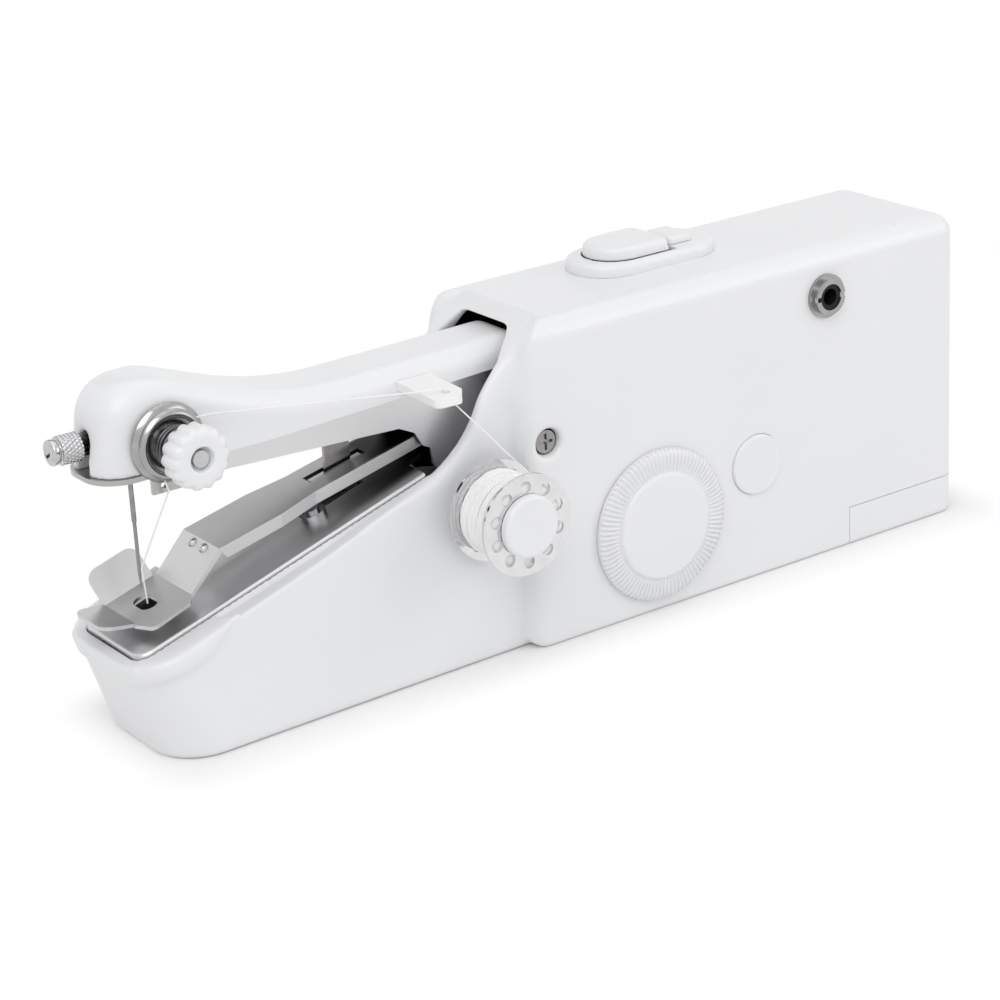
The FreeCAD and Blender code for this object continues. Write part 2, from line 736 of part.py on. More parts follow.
head_gap = block("head_gap", -95, -79.5, "-dims.cheek_in", "dims.cheek_in", 50, 62)
rear_tail = block("rear_tail", 4, 40, 0, 20, 0, 60)
tail_ring = rod("tail_ring", "Y", 9.3, "-dims.cheek_out", "-dims.cheek_in", (TAIL_X, TAIL_Z))
tail_window = rod("tail_window", "Y", 6.95, -12, 0, (TAIL_X, TAIL_Z))
pivot_bore = rod("pivot_bore", "Y", "dims.pivot_rad + dims.run_gap", -12, 12, PIVOT)
pivot_tube = rod("pivot_tube", "Y", 3.6, "-dims.cheek_out", "dims.cheek_out", PIVOT)
channel_cut = cut("channel_cut", cheek_plate, cheek_gap, head_gap, rear_tail)
channel_whole = fuse("channel_whole", channel_cut, tail_ring, pivot_tube)
channel_port = rod("channel_port", "Y", 1.62, -12, 0, ("dims.post_x", "dims.post_z"))
node("arm_channel", cut("arm_channel", channel_whole, tail_window, pivot_bore, channel_port))

cover_side = outline_body(
    "cover_side",
    "XZ",
    [
        (-98.0, 55.9),
        (-96.2, 72.9, 8),
        (-83.5, 72.6, 9),
        (-57, 62.8, 70),
        (-3, 63.6, 3),
        (-3, 58.2),
        (-34, 57.0),
        (-63, 55.9),
    ],
    "-dims.arm_half",
    "dims.arm_half",
)
ARM = size("arm_half")


def cover_edge(edge):
    """An outer edge along the front or the top of the cover, on either side."""
    middle = edge.valueAt((edge.FirstParameter + edge.LastParameter) / 2)
    side = ends_within(edge, lambda p: abs(p.y) > ARM - 0.01) and abs(middle.y) > ARM - 0.01
    return side and (middle.z > 60.9 or (middle.x < -96 and middle.z > 56.5))


def cover_radius(point):
    """Wide round the head, less along the arm."""
    return 4.3 + 2.3 * min(max((-84.0 - point.x) / 10.0, 0.0), 1.0)


cover_round = taper_round("cover_round", cover_side, cover_radius, cover_edge)
cover_hollow = outline_body(
    "cover_hollow",
    "XZ",
    [
        (-92.05, 50),
        (-92.05, 66.0),
        (-89.6, 69.2),
        (-84, 69.9),
        (-70, 64.9),
        (-57, 61.2),
        (-5, 61.2),
        (-5, 50),
    ],
    "-dims.cheek_out - 0.02",
    "dims.cheek_out + 0.02",
)
clamp_port = rod("clamp_port", "X", 2.3, -104, -88, (0, "dims.clamp_z"))
clamp_slot = block("clamp_slot", -104, -91.9, -2.3, 2.3, 50, "dims.clamp_z")
post_hole = rod("post_hole", "Y", 1.6, -12, 0, ("dims.post_x", "dims.post_z"))
node("arm_cover", cut("arm_cover", cover_round, cover_hollow, clamp_port, clamp_slot, post_hole))

# Under the head: a half-round steel plate with a thread tab, the clamp block
# that holds the needle, and its knurled screw.
plate_disc = outline_body(
    "plate_disc",
    "XY",
    [
        (-98.7, "-dims.arm_half - 0.4", 7),
        (-98.7, "dims.arm_half + 0.4", 7),
        (-81, "dims.arm_half + 0.4"),
        (-81, "-dims.arm_half - 0.4"),
    ],
    54.9,
    55.9,
)
plate_tab = block("plate_tab", -88.5, -82.5, "-dims.arm_half - 0.4", "-dims.arm_half + 0.5", 51.6, 55.4)
plate_eye = rod("plate_eye", "Y", 0.6, -12, -6, (-86.2, 53.0))
plate_port = rod("plate_port", "Z", 3.02, 50, 60, ("dims.needle_x", 0))
node("head_plate", cut("head_plate", fuse("plate_body", plate_disc, plate_tab), plate_eye, plate_port))

clamp_block = rod("clamp_block", "Z", 3.0, 53.0, 65.6, ("dims.needle_x", 0))
clamp_bore = rod("clamp_bore", "Z", 0.48, 50, 60.2, ("dims.needle_x", 0))
clamp_tap = rod("clamp_tap", "X", "1.5 + dims.run_gap", -95, -87.6, (0, "dims.clamp_z"))
node("needle_clamp", cut("needle_clamp", clamp_block, clamp_bore, clamp_tap))
needle_shank = rod("needle_shank", "Z", 0.48, 44, 59.6, ("dims.needle_x", 0))
needle_blade = rod("needle_blade", "Z", 0.36, "dims.needle_tip + 3", 44, ("dims.needle_x", 0))
needle_point = cone("needle_point", "Z", 0.05, 0.36, "dims.needle_tip", "dims.needle_tip + 3",
                    ("dims.needle_x", 0))
needle_eye = rod("needle_eye", "Y", 0.2, -2, 2, ("dims.needle_x", "dims.needle_tip + 4.2"))
needle_whole = fuse("needle_whole", needle_shank, needle_blade, needle_point)
node("needle", cut("needle", needle_whole, needle_eye))

CLAMP = (0, "dims.clamp_z")
screw_shank = rod("screw_shank", "X", 1.5, -97.6, -88.4, CLAMP)
screw_neck = rod("screw_neck", "X", 1.9, -98.3, -96.4, CLAMP)
screw_knurl = rod("screw_knurl", "X", 2.8, -102.4, -98.3, CLAMP)
screw_collar = rod("screw_collar", "X", 2.1, -102.8, -102.4, CLAMP)
screw_tip = rod("screw_tip", "X", 2.5, -104.2, -102.8, CLAMP)
screw_dimple = cone("screw_dimple", "X", 1.7, 0.6, -104.3, -103.4, CLAMP)
GROOVES = 20
knurl_cuts = []
for i in range(GROOVES):
    angle = 2 * math.pi * i / GROOVES
    at = (2.95 * math.cos(angle), "dims.clamp_z + %.4f" % (2.95 * math.sin(angle)))
    knurl_cuts.append(rod("knurl_%d" % i, "X", 0.28, -102.5, -98.2, at))
screw_whole = fuse("screw_whole", screw_shank, screw_neck, screw_knurl, screw_collar, screw_tip)
node("clamp_screw", cut("clamp_screw", screw_whole, screw_dimple, *knurl_cuts))

# Thread tension: a post, two dished discs, a coil spring and a fluted knob.
POST = ("dims.post_x", "dims.post_z")
POST_BORE = "1.6 + dims.run_gap"
node("tension_post", fuse("tension_post", rod("post_rod", "Y", 1.6, -21.4, -5.0, POST),
                          rod("post_nut", "Y", 2.6, -9.0, "-dims.arm_half", POST)))
inner_disc_body = cone("inner_disc_body", "Y", 6.2, 7.6, -10.3, -9.0, POST)
node("tension_disc_inner", cut("tension_disc_inner", inner_disc_body,
                               rod("inner_disc_bore", "Y", POST_BORE, -30, 0, POST)))
outer_disc_body = cone("outer_disc_body", "Y", 5.9, 6.8, -11.8, -10.7, POST)
node("tension_disc_outer", cut("tension_disc_outer", outer_disc_body,
                               rod("outer_disc_bore", "Y", POST_BORE, -30, 0, POST)))
node("tension_spring", coil("tension_spring", 3.9, 0.4, 1.25, 3.25, -12.3, size("post_x"), size("post_z")))
FLUTES = 14
knob_rod = rod("knob_rod", "Y", 6.0, -22.2, -17.0, POST)
knob_bore = rod("knob_bore", "Y", POST_BORE, -30, 0, POST)
knob_well = rod("knob_well", "Y", 2.3, -23, -20.6, POST)
knob_flutes = []
for i in range(FLUTES):
    angle = 2 * math.pi * i / FLUTES
    at = ("dims.post_x + %.4f" % (6.55 * math.cos(angle)), "dims.post_z + %.4f" % (6.55 * math.sin(angle)))
    knob_flutes.append(rod("flute_%d" % i, "Y", 0.95, -23, -16, at))
node("tension_knob", cut("tension_knob", knob_rod, knob_bore, knob_well, *knob_flutes))

# Thread guide: a flat plastic tab on the near side of the arm, with one eye.
guide_plate = outline_body(
    "guide_plate",
    "XY",
    [
        (-34.2, "-dims.arm_half"),
        (-35.2, -23.6, 1.5),
        (-29.8, -24.0, 1.5),
        (-27.4, -20.5, 1.5),
        (-26.6, "-dims.arm_half"),
    ],
    58.9,
    60.5,
)
guide_eye = rod("guide_eye", "Z", 0.9, 55, 65, (-30.8, -20.0))
node("thread_guide", cut("thread_guide", guide_plate, guide_eye))

# The strap that hangs from the arm through the presser strip.
node("lifter_strap", block("lifter_strap", -46.8, -41.0, -0.4, 0.4, 41.2, 59.6))

# Thread: from the bobbin up to the guide, then along the arm, round between
# the discs, through the tab and the needle's eye, and down to the foot.
BOBBIN = V(size("bobbin_x"), size("bobbin_back") - size("bobbin_wide") / 2, size("bobbin_z"))
EYE = V(-30.8, -20.0, 59.8)
THREAD = 0.18
NX, TIP = size("needle_x"), size("needle_tip")
PX, PZ = size("post_x"), size("post_z")
LEAVES = math.radians(39)
SPOOL_TOP = BOBBIN + V(8.85 * math.cos(LEAVES), 0, 8.85 * math.sin(LEAVES))
node("thread_supply", thread("thread_supply", [SPOOL_TOP, EYE + (SPOOL_TOP - EYE) * 0.03], THREAD, 1))
node("thread_run", thread("thread_run", [
    EYE,
    EYE + V(-0.3, 0.2, 1.2),
    V(PX + 8.6, -10.5, PZ + 3.7),
    V(PX + 2.6, -10.5, PZ + 3.9),
    V(PX - 3.9, -10.5, PZ),
    V(-86.2, -10.45, 52.4),
    V(NX + 0.1, -0.75, TIP + 4.2),
    V(NX + 0.7, -0.6, 27.4),
], THREAD, 0.5))

# The presser: a foot with turned-up wings, a riser and a strip that runs back
# into the mouth, hinged on a carriage that slides along the deck's tongue.
FOOT_X0, FOOT_X1 = -93.2, -81.6


def foot_level(x, above=0):
    return deck_at(x, "dims.foot_rise + (%s)" % above)


def strip_top(x, above=0):
    return "36.8 + dims.strip_slope * ((%s) + 75) + (%s)" % (x, above)


foot_sheet = outline_body(
    "foot_sheet",
    "XZ",
    [
        (FOOT_X0, foot_level(FOOT_X0)),
        (FOOT_X1, foot_level(FOOT_X1)),
        (FOOT_X1, foot_level(FOOT_X1, -0.7)),
        (FOOT_X0, foot_level(FOOT_X0, -0.7)),
    ],
    -12,
    12,
)
foot_plan = outline_body(
    "foot_plan",
    "XY",
    [
        (FOOT_X0, -5.0),
        (-91.6, -9.6, 1.5),
        (-83.0, -9.0, 1.5),
        (FOOT_X1, -6.2),
        (FOOT_X1, 8.0),
        (FOOT_X0, 8.0),
    ],
    10,
    60,
)
foot_pad = common("foot_pad", foot_sheet, foot_plan)
wing_sheet = outline_body(
    "wing_sheet",
    "XZ",
    [
        (FOOT_X0 + 0.3, foot_level(FOOT_X0 + 0.3)),
        (FOOT_X0 + 0.3, foot_level(FOOT_X0 + 0.3, -0.7)),
        (-99.6, foot_level(-99.6, 2.0)),
        (-99.6, foot_level(-99.6, 2.7)),
    ],
    -5.0,
    8.0,
)
wing_plan = outline_body(
    "wing_plan",
    "XY",
    [
        (-90, -5.0),
        (-99.7, -4.0, 2.8),
        (-99.7, 7.4, 2.8),
        (-90, 8.0),
    ],
    10,
    60,
)
front_wing = common("front_wing", wing_sheet, wing_plan)


def foot_flap(name, x0, x1, y, out, up, thick, radius):
    """A flap of the foot's sheet that stands up from its edge, with its free corners rounded."""
    slope = size("slope")
    along = V(1, 0, slope).normalize()
    rise = V(0, out, 0) + V(-slope, 0, 1).normalize() * up
    near, far = (V(x, y, val(foot_level(x, -0.65))) for x in (x0, x1))
    slab = Part.Face(Part.makePolygon([near, far, far + rise, near + rise, near])).extrude(along.cross(rise).normalize() * thick)
    tips = [
        edge for edge in slab.Edges
        if edge.Length < thick * 1.01 and min(edge.CenterOfMass.distanceToPoint(p + rise) for p in (near, far)) < thick
    ]
    return solid(name, slab.makeFillet(radius, tips))


side_wing = foot_flap("side_wing", -93.0, -82.2, 7.5, 3.2, 6.7, 0.7, 2.4)
RISER_HALF = 6.8
riser = outline_body(
    "riser",
    "XZ",
    [
        (FOOT_X1 - 0.6, foot_level(FOOT_X1 - 0.6)),
        (FOOT_X1 - 0.6, foot_level(FOOT_X1 - 0.6, -0.7)),
        (FOOT_X1 + 0.2, foot_level(FOOT_X1 + 0.2, -0.7)),
        (-74.2, strip_top(-74.2, -0.8)),
        (-74.2, strip_top(-74.2)),
        (-75.0, strip_top(-75.0)),
        (FOOT_X1 - 0.2, foot_level(FOOT_X1 - 0.2)),
    ],
    -RISER_HALF,
    RISER_HALF,
)
WIDE_END = -52.4
wide_bar = outline_body(
    "wide_bar",
    "XZ",
    [
        (-74.6, strip_top(-74.6)),
        (-74.6, strip_top(-74.6, -0.9)),
        (-73.4, strip_top(-73.4, -2.6)),
        (WIDE_END, strip_top(WIDE_END, -2.6)),
        (WIDE_END, strip_top(WIDE_END)),
    ],
    -RISER_HALF,
    RISER_HALF,
)
wide_under = outline_body(
    "wide_under",
    "XZ",
    [
        (-74.3, strip_top(-74.3, -0.85)),
        (WIDE_END + 1, strip_top(WIDE_END + 1, -0.85)),
        (WIDE_END + 1, strip_top(WIDE_END + 1, -9)),
        (-73.0, strip_top(-73.0, -9)),
    ],
    -RISER_HALF + 0.7,
    RISER_HALF - 0.7,
)


def strip_plan(name, inset):
    """The plan of the strip, drawn in to its narrow half, less an inset."""
    wide, narrow = RISER_HALF - inset, size("strip_half") - inset
    corners = [(-80, -wide), (-61, -wide), (WIDE_END, -narrow), (WIDE_END + 2, -narrow)]
    return outline_body(name, "XY", corners + [(x, -y) for x, y in reversed(corners)], 10, 70)


wide_strip = cut(
    "wide_strip",
    common("wide_outside", wide_bar, strip_plan("wide_plan", 0)),
    common("wide_inside", wide_under, strip_plan("hollow_plan", 0.7)),
)
strip_bar = outline_body(
    "strip_bar",
    "XZ",
    [
        (WIDE_END - 0.5, strip_top(WIDE_END - 0.5)),
        (WIDE_END - 0.5, strip_top(WIDE_END - 0.5, -2.6)),
        (-22.0, strip_top(-22.0, -2.6)),
        (-19.0, strip_top(-19.0, -4.9)),
        (-13.0, strip_top(-13.0, -4.9)),
        (-12.4, strip_top(-12.4)),
    ],
    "-dims.strip_half",
    "dims.strip_half",
)
strip_under = outline_body(
    "strip_under",
    "XZ",
    [
        (-74.3, strip_top(-74.3, -0.85)),
        (-5.0, strip_top(-5.0, -0.85)),
        (-5.0, strip_top(-5.0, -9)),
        (-73.0, strip_top(-73.0, -9)),
    ],
    "-dims.strip_half + 0.7",
    "dims.strip_half - 0.7",
)
foot_hole_block = block("foot_hole_block", "dims.needle_x - 1.2", "dims.needle_x + 2.4", -1.6, 1.6, 10, 60)
foot_hole_ends = [
    rod("foot_hole_%d" % i, "Z", 1.8, 10, 60, ("dims.needle_x + 0.6", y)) for i, y in enumerate((-1.2, 1.2))
]
strip_slot = block("strip_slot", -50.8, -38.1, -1.5, 1.5, 30, 60)
HINGE_X = -16.0
HINGE_Z = deck_at(HINGE_X, 1.05)
HINGE = (HINGE_X, HINGE_Z)
hinge_bore = rod("hinge_bore", "Y", 0.75, -12, 12, HINGE)
dimples = []
for i, y in enumerate((-2.1, 2.1)):
    dimple = doc.addObject("Part::Sphere", "dimple_%d" % i)
    dimple.Radius = 1.1
    dimple.Placement.Base = V(-75.7, y, val(strip_top(-75.7, -1.0)))
    dimples.append(dimple)
presser_whole = fuse("presser_whole", foot_pad, front_wing, side_wing, riser, wide_strip, strip_bar, *dimples)
node("presser_foot", cut("presser_foot", presser_whole, strip_under, foot_hole_block, strip_slot,
                         hinge_bore, *foot_hole_ends))
node("presser_pin", rod("presser_pin", "Y", 0.75, -5.6, 5.6, HINGE))
carriage_side = outline_body(
    "carriage_side",
    "XZ",
    [
        (-20, deck_at(-20, 0.1)),
        (-13, deck_at(-13, 0.1)),
        (-13, deck_at(-13, 2.0)),
        (-20, deck_at(-20, 2.0)),
    ],
    -4.4,
    4.4,
)
node("feed_carriage", cut("feed_carriage", carriage_side,
                          rod("carriage_bore", "Y", "0.75 + dims.run_gap", -12, 12, HINGE)))

# The looper under the deck, rocking on a shaft along X in a small bracket.
LOOP_Y, LOOP_Z = 5.0, 12.0
LOOP = (LOOP_Y, LOOP_Z)
bracket_parts = [
    block("bracket_base", -80, -62, 1.5, 8.5, "dims.wall", "dims.wall + 2"),
    block("bracket_front", -80, -77.5, 1.5, 8.5, "dims.wall", 15),
    block("bracket_rear", -64.5, -62, 1.5, 8.5, "dims.wall", 15),
]
bracket_bore = rod("bracket_bore", "X", "1.2 + dims.run_gap", -90, -50, LOOP)
node("looper_bracket", cut("looper_bracket", fuse("bracket_body", *bracket_parts), bracket_bore))
node("looper_shaft", rod("looper_shaft", "X", 1.2, -84.6, -60, LOOP))
looper_hook = outline_body(
    "looper_hook",
    "YZ",
    [
        (LOOP_Y + 2.4, LOOP_Z - 1.5, 1),
        (LOOP_Y + 2.2, LOOP_Z + 4.5, 1),
        (LOOP_Y - 0.5, LOOP_Z + 8.0, 1),
        (LOOP_Y - 7.6, LOOP_Z + 6.9),
        (LOOP_Y - 1.2, LOOP_Z + 5.8, 1),
        (LOOP_Y - 2.4, LOOP_Z - 1.5, 1),
        (LOOP_Y, LOOP_Z - 2.6, 1),
    ],
    -84.4,
    -83.2,
)
node("looper", cut("looper", looper_hook, rod("looper_bore", "X", 1.2, -90, -50, LOOP)))

# The drive: motor, compound idler, main gear and crank, with the hand wheel on
# the outside of the case.
WHEEL = ("dims.wheel_x", "dims.wheel_z")
IDLER = ("dims.idler_x", "dims.idler_z")
MOTOR = ("dims.motor_x", "dims.motor_z")
node("shaft_bush", cut("shaft_bush", rod("bush_rod", "Y", 4.0, -17.5, -12.3, WHEEL),
                       rod("bush_bore", "Y", "2.5 + dims.run_gap", -20, -10, WHEEL)))
node("main_shaft", rod("main_shaft", "Y", 2.5, -19.4, -9.0, WHEEL))
WX, WZ = size("wheel_x"), size("wheel_z")
IX, IZ = size("idler_x"), size("idler_z")
MX, MZ = size("motor_x"), size("motor_z")
MAIN_TEETH, SMALL_TEETH, BIG_TEETH, PINION_TEETH = 40, 12, 36, 12
to_idler = math.atan2(IZ - WZ, IX - WX)
to_motor = math.atan2(MZ - IZ, MX - IX)
node("main_gear", gear("main_gear", MAIN_TEETH, 0.6, 2.5, -12.0, -9.0, WX, WZ, to_idler))
small_part = gear("small_part", SMALL_TEETH, 0.6, 1.25, -12.3, -8.8, IX, IZ,
                  to_idler + math.pi + math.pi / SMALL_TEETH)
big_part = gear("big_part", BIG_TEETH, 0.5, 1.25, -15.4, -12.3, IX, IZ, to_motor)
node("idler_gear", fuse("idler_gear", small_part, big_part))
node("idler_axle", rod("idler_axle", "Y", 1.2, -16.9, -8.2, IDLER))
node("motor_pinion", gear("motor_pinion", PINION_TEETH, 0.5, 1.0, -15.3, -12.4, MX, MZ,
                          to_motor + math.pi + math.pi / PINION_TEETH))
node("motor_shaft", rod("motor_shaft", "Y", 1.0, -15.3, 12.0, MOTOR))
can_rod = rod("can_rod", "Y", "dims.motor_rad", -11.4, 11.0, MOTOR)
can_flats = block("can_flats", "dims.motor_x - 7.55", "dims.motor_x + 7.55", -11.4, 11.0,
                  "dims.motor_z - 12", "dims.motor_z + 12")
can_bore = rod("can_bore", "Y", "1.0 + dims.run_gap", -20, 20, MOTOR)
node("motor_can", cut("motor_can", common("can_shape", can_rod, can_flats), can_bore))
bell_rod = rod("bell_rod", "Y", "dims.motor_rad - 0.3", 11.0, 15.9, MOTOR)
bell_flats = block("bell_flats", "dims.motor_x - 7.3", "dims.motor_x + 7.3", 11.0, 15.9,
                   "dims.motor_z - 12", "dims.motor_z + 12")
bell_bore = rod("bell_bore", "Y", "1.0 + dims.run_gap", 10, 12.2, MOTOR)
node("motor_bell", cut("motor_bell", common("bell_shape", bell_rod, bell_flats), bell_bore))
node("crank_pin", rod("crank_pin", "Y", 1.5, -9.0, -5.4, (TAIL_X, TAIL_Z)))
plug_disc = rod("plug_disc", "Y", 6.5, -18.7, -16.1, MOTOR)
node("axle_plug", round_rim("axle_plug", plug_disc, 0.5, -18.7, (size("motor_x"), size("motor_z")), 6.5))

RIBS = 60
wheel_rim = rod("wheel_rim", "Y", "dims.wheel_rad", -19.4, -18.1, WHEEL)
wheel_bevel = cone("wheel_bevel", "Y", "dims.wheel_rad * 0.93", "dims.wheel_rad", -20.2, -19.4, WHEEL)
wheel_ring = rod("wheel_ring", "Y", "dims.wheel_rad * 0.90", -21, -19.6, WHEEL)
wheel_disc = rod("wheel_disc", "Y", "dims.wheel_rad * 0.70", -20.6, -19.4, WHEEL)
wheel_bore = rod("wheel_bore", "Y", 2.5, -19.4, -10, WHEEL)
wheel_base = cut("wheel_base", fuse("wheel_solid", wheel_rim, wheel_bevel), wheel_ring)
wheel_ribs = []
for i in range(RIBS):
    rib = doc.addObject("Part::Box", "rib_%d" % i)
    rib.setExpression("Length", "dims.wheel_rad * 0.22")
    rib.Width = 0.55
    rib.Height = 0.7
    turn = FreeCAD.Rotation(V(0, 1, 0), 360.0 * i / RIBS)
    start = turn.multVec(V(size("wheel_rad") * 0.69, 0, -0.35))
    rib.Placement = FreeCAD.Placement(V(WX, -20.1, WZ) + start, turn)
    wheel_ribs.append(rib)
node("handwheel", cut("handwheel", fuse("wheel_body", wheel_base, wheel_disc, *wheel_ribs), wheel_bore))

# The bobbin on its spindle, with a cap at the end and thread wound on it.
SPOOL = ("dims.bobbin_x", "dims.bobbin_z")
BACK = "dims.bobbin_back"
FACE = "dims.bobbin_back - dims.bobbin_wide"
node("bobbin_spindle", fuse("bobbin_spindle",
                            rod("spindle_rod", "Y", 2.94, "%s - 0.2" % FACE, "%s + 0.3" % BACK, SPOOL),
                            rod("spindle_root", "Y", 2.0, BACK, -10.5, SPOOL)))
cap_disc = rod("cap_disc", "Y", 6.3, "%s - 1.9" % FACE, "%s - 0.2" % FACE, SPOOL)
node("spindle_cap", round_rim("spindle_cap", cap_disc, 0.8, size("bobbin_back") - size("bobbin_wide") - 1.9,
                              (size("bobbin_x"), size("bobbin_z")), 6.3))
flange_back = rod("flange_back", "Y", "dims.bobbin_rad", "%s - 0.6" % BACK, BACK, SPOOL)
flange_face = rod("flange_face", "Y", "dims.bobbin_rad", FACE, "%s + 0.6" % FACE, SPOOL)
spool_tube = rod("spool_tube", "Y", 3.6, FACE, BACK, SPOOL)
spool_bore = rod("spool_bore", "Y", "2.94 + dims.run_gap", -40, 0, SPOOL)
HOLES = 10
spool_holes = []
for i in range(HOLES):
    angle = 2 * math.pi * (i + 0.5) / HOLES
    reach = 0.74 * size("bobbin_rad")
    at = ("dims.bobbin_x + %.4f" % (reach * math.cos(angle)), "dims.bobbin_z + %.4f" % (reach * math.sin(angle)))
    spool_holes.append(rod("spool_hole_%d" % i, "Y", 1.3, -40, 0, at))
node("bobbin", cut("bobbin", fuse("spool", flange_back, flange_face, spool_tube), spool_bore, *spool_holes))
pack_rod = rod("pack_rod", "Y", 8.2, "%s + 0.65" % FACE, "%s - 0.65" % BACK, SPOOL)
node("thread_pack", cut("thread_pack", pack_rod, rod("pack_bore", "Y", 3.6, -40, 0, SPOOL)))
node("thread_winding", coil("thread_winding", 8.36, 0.12, 0.66, 14.0,
                            size("bobbin_back") - 1.05, size("bobbin_x"), size("bobbin_z")))

# The power jack: a slotted ring nut round a black insulator with the bore.
JACK = ("dims.jack_x", "dims.jack_z")
nut_flange = rod("nut_flange", "Y", 4.7, -18.8, -18.0, JACK)
nut_ring = rod("nut_ring", "Y", 3.9, -20.0, -18.8, JACK)
nut_neck = rod("nut_neck", "Y", 3.9, -18.0, -14.6, JACK)
nut_bore = rod("nut_bore", "Y", 2.8, -22, -10, JACK)
nut_slots = block("nut_slots", "dims.jack_x - 6", "dims.jack_x + 6", -20.5, -19.3,
                  "dims.jack_z - 0.5", "dims.jack_z + 0.5")
node("jack_nut", cut("jack_nut", fuse("nut_body", nut_flange, nut_ring, nut_neck), nut_bore, nut_slots))
core_neck = rod("core_neck", "Y", 2.8, -19.6, -14.6, JACK)
core_box = block("core_box", "dims.jack_x - 4", "dims.jack_x + 3.6", -14.6, -6, "dims.jack_z - 4",
                 "dims.jack_z + 4")
core_bore = rod("core_bore", "Y", "dims.jack_bore", -25, -9.5, JACK)
node("jack_insulator", cut("jack_insulator", fuse("jack_core", core_neck, core_box), core_bore))

# The switch on top: a raised bezel, a press button and a lock slider behind it.
MID_Y = "dims.switch_y"
BEZEL_RUN = "(dims.bezel_half - dims.bezel_rad)"
bezel_ends = [
    rod("bezel_end_%d" % i, "Z", "dims.bezel_rad", 68, 70.6, ("dims.switch_x + (%d) * %s" % (side, BEZEL_RUN), MID_Y))
    for i, side in enumerate((-1, 1))
]
bezel_bar = block("bezel_bar", "dims.switch_x - %s" % BEZEL_RUN, "dims.switch_x + %s" % BEZEL_RUN,
                  "dims.switch_y - dims.bezel_rad", "dims.switch_y + dims.bezel_rad", 68, 70.6)
port_end = rod("port_end", "Z", 6.9, 60, 75, (28.9, MID_Y))
port_bar = block("port_bar", 28.9, 40.0, "dims.switch_y - 6.9", "dims.switch_y + 6.9", 60, 75)
lock_bar = block("lock_bar", 40.7, 46.0, "dims.switch_y - 3.2", "dims.switch_y + 3.2", 60, 75)
bezel_soft = soften("bezel_soft", fuse("bezel_whole", bezel_bar, *bezel_ends), 1.1, lambda e: e.BoundBox.ZMin > 70.5)
node("switch_bezel", cut("switch_bezel", bezel_soft, port_end, port_bar, lock_bar))
button_end = rod("button_end", "Z", 6.6, 70.6, 73.2, (28.9, MID_Y))
button_bar = block("button_bar", 28.9, 39.6, "dims.switch_y - 6.6", "dims.switch_y + 6.6", 70.6, 73.2)
button_stem = block("button_stem", 27, 37, "dims.switch_y - 3", "dims.switch_y + 3", 65.4, 70.6)
button_soft = soften("button_soft", fuse("button_whole", button_end, button_bar), 1.0, lambda e: e.BoundBox.ZMin > 73.1)
node("power_button", fuse("power_button", button_soft, button_stem))
lock_top = block("lock_top", 40.0, 46.2, "dims.switch_y - 4.3", "dims.switch_y + 4.3", 70.65, 72.3)
lock_soft = soften("lock_soft", lock_top, 0.8, lambda e: e.BoundBox.ZMin > 72.2 or e.BoundBox.ZLength > 1)
lock_stem = block("lock_stem", 41.0, 43.4, "dims.switch_y - 3", "dims.switch_y + 3", 65.0, 71.5)
node("lock_slider", fuse("lock_slider", lock_soft, lock_stem))
node("microswitch", block("microswitch", 25, 46, "dims.switch_y - 4", "dims.switch_y + 4", 55, 62.6))

# Every object must have come out whole before anything is written.
doc.recompute()
for obj in doc.Objects:
    if "Invalid" in obj.State or "Error" in obj.State:
        raise RuntimeError("failed object: %s %s" % (obj.Name, obj.State))
for name, obj in nodes.items():
    if obj.Shape.isNull() or not obj.Shape.isValid() or obj.Shape.Volume < 1e-4:
        raise RuntimeError("bad shape: %s" % name)
os.makedirs("parts", exist_ok=True)
for name, obj in nodes.items():
    obj.Shape.exportStep("parts/%s.step" % name)
    box = obj.Shape.BoundBox
    print("%-20s solids %d  volume %9.1f  x %.1f..%.1f  y %.1f..%.1f  z %.1f..%.1f" % (
        name, len(obj.Shape.Solids), obj.Shape.Volume, box.XMin, box.XMax, box.YMin, box.YMax, box.ZMin, box.ZMax))
print("%d nodes" % len(nodes))
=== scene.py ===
import math

import bmesh
import bpy
import numpy
from mathutils import Matrix, Vector
from mathutils.bvhtree import BVHTree


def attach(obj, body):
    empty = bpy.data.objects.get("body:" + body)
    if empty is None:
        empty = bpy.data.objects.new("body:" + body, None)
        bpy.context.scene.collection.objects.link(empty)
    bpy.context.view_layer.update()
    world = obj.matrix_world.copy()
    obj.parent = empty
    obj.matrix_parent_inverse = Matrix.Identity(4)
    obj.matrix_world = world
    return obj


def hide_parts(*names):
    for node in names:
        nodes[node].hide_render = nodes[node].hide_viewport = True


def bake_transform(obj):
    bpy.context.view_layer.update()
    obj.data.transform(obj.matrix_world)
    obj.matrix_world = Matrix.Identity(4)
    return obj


# A handheld sewing machine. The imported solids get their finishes. The case, the
# arm's cover, the switch, the thread, the spring, the tension discs, the clamp
# screw, the knob and the hand wheel are finer meshes that stand for their solids.

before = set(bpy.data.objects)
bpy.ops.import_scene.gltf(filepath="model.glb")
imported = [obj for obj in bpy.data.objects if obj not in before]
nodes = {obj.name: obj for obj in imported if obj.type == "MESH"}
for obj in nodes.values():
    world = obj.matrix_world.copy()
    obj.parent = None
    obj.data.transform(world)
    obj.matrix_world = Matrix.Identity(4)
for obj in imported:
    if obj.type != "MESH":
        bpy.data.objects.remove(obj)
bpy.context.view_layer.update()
MM = 0.001
TURN = 2 * math.pi


# ------------------------------------------------------------------ finishes


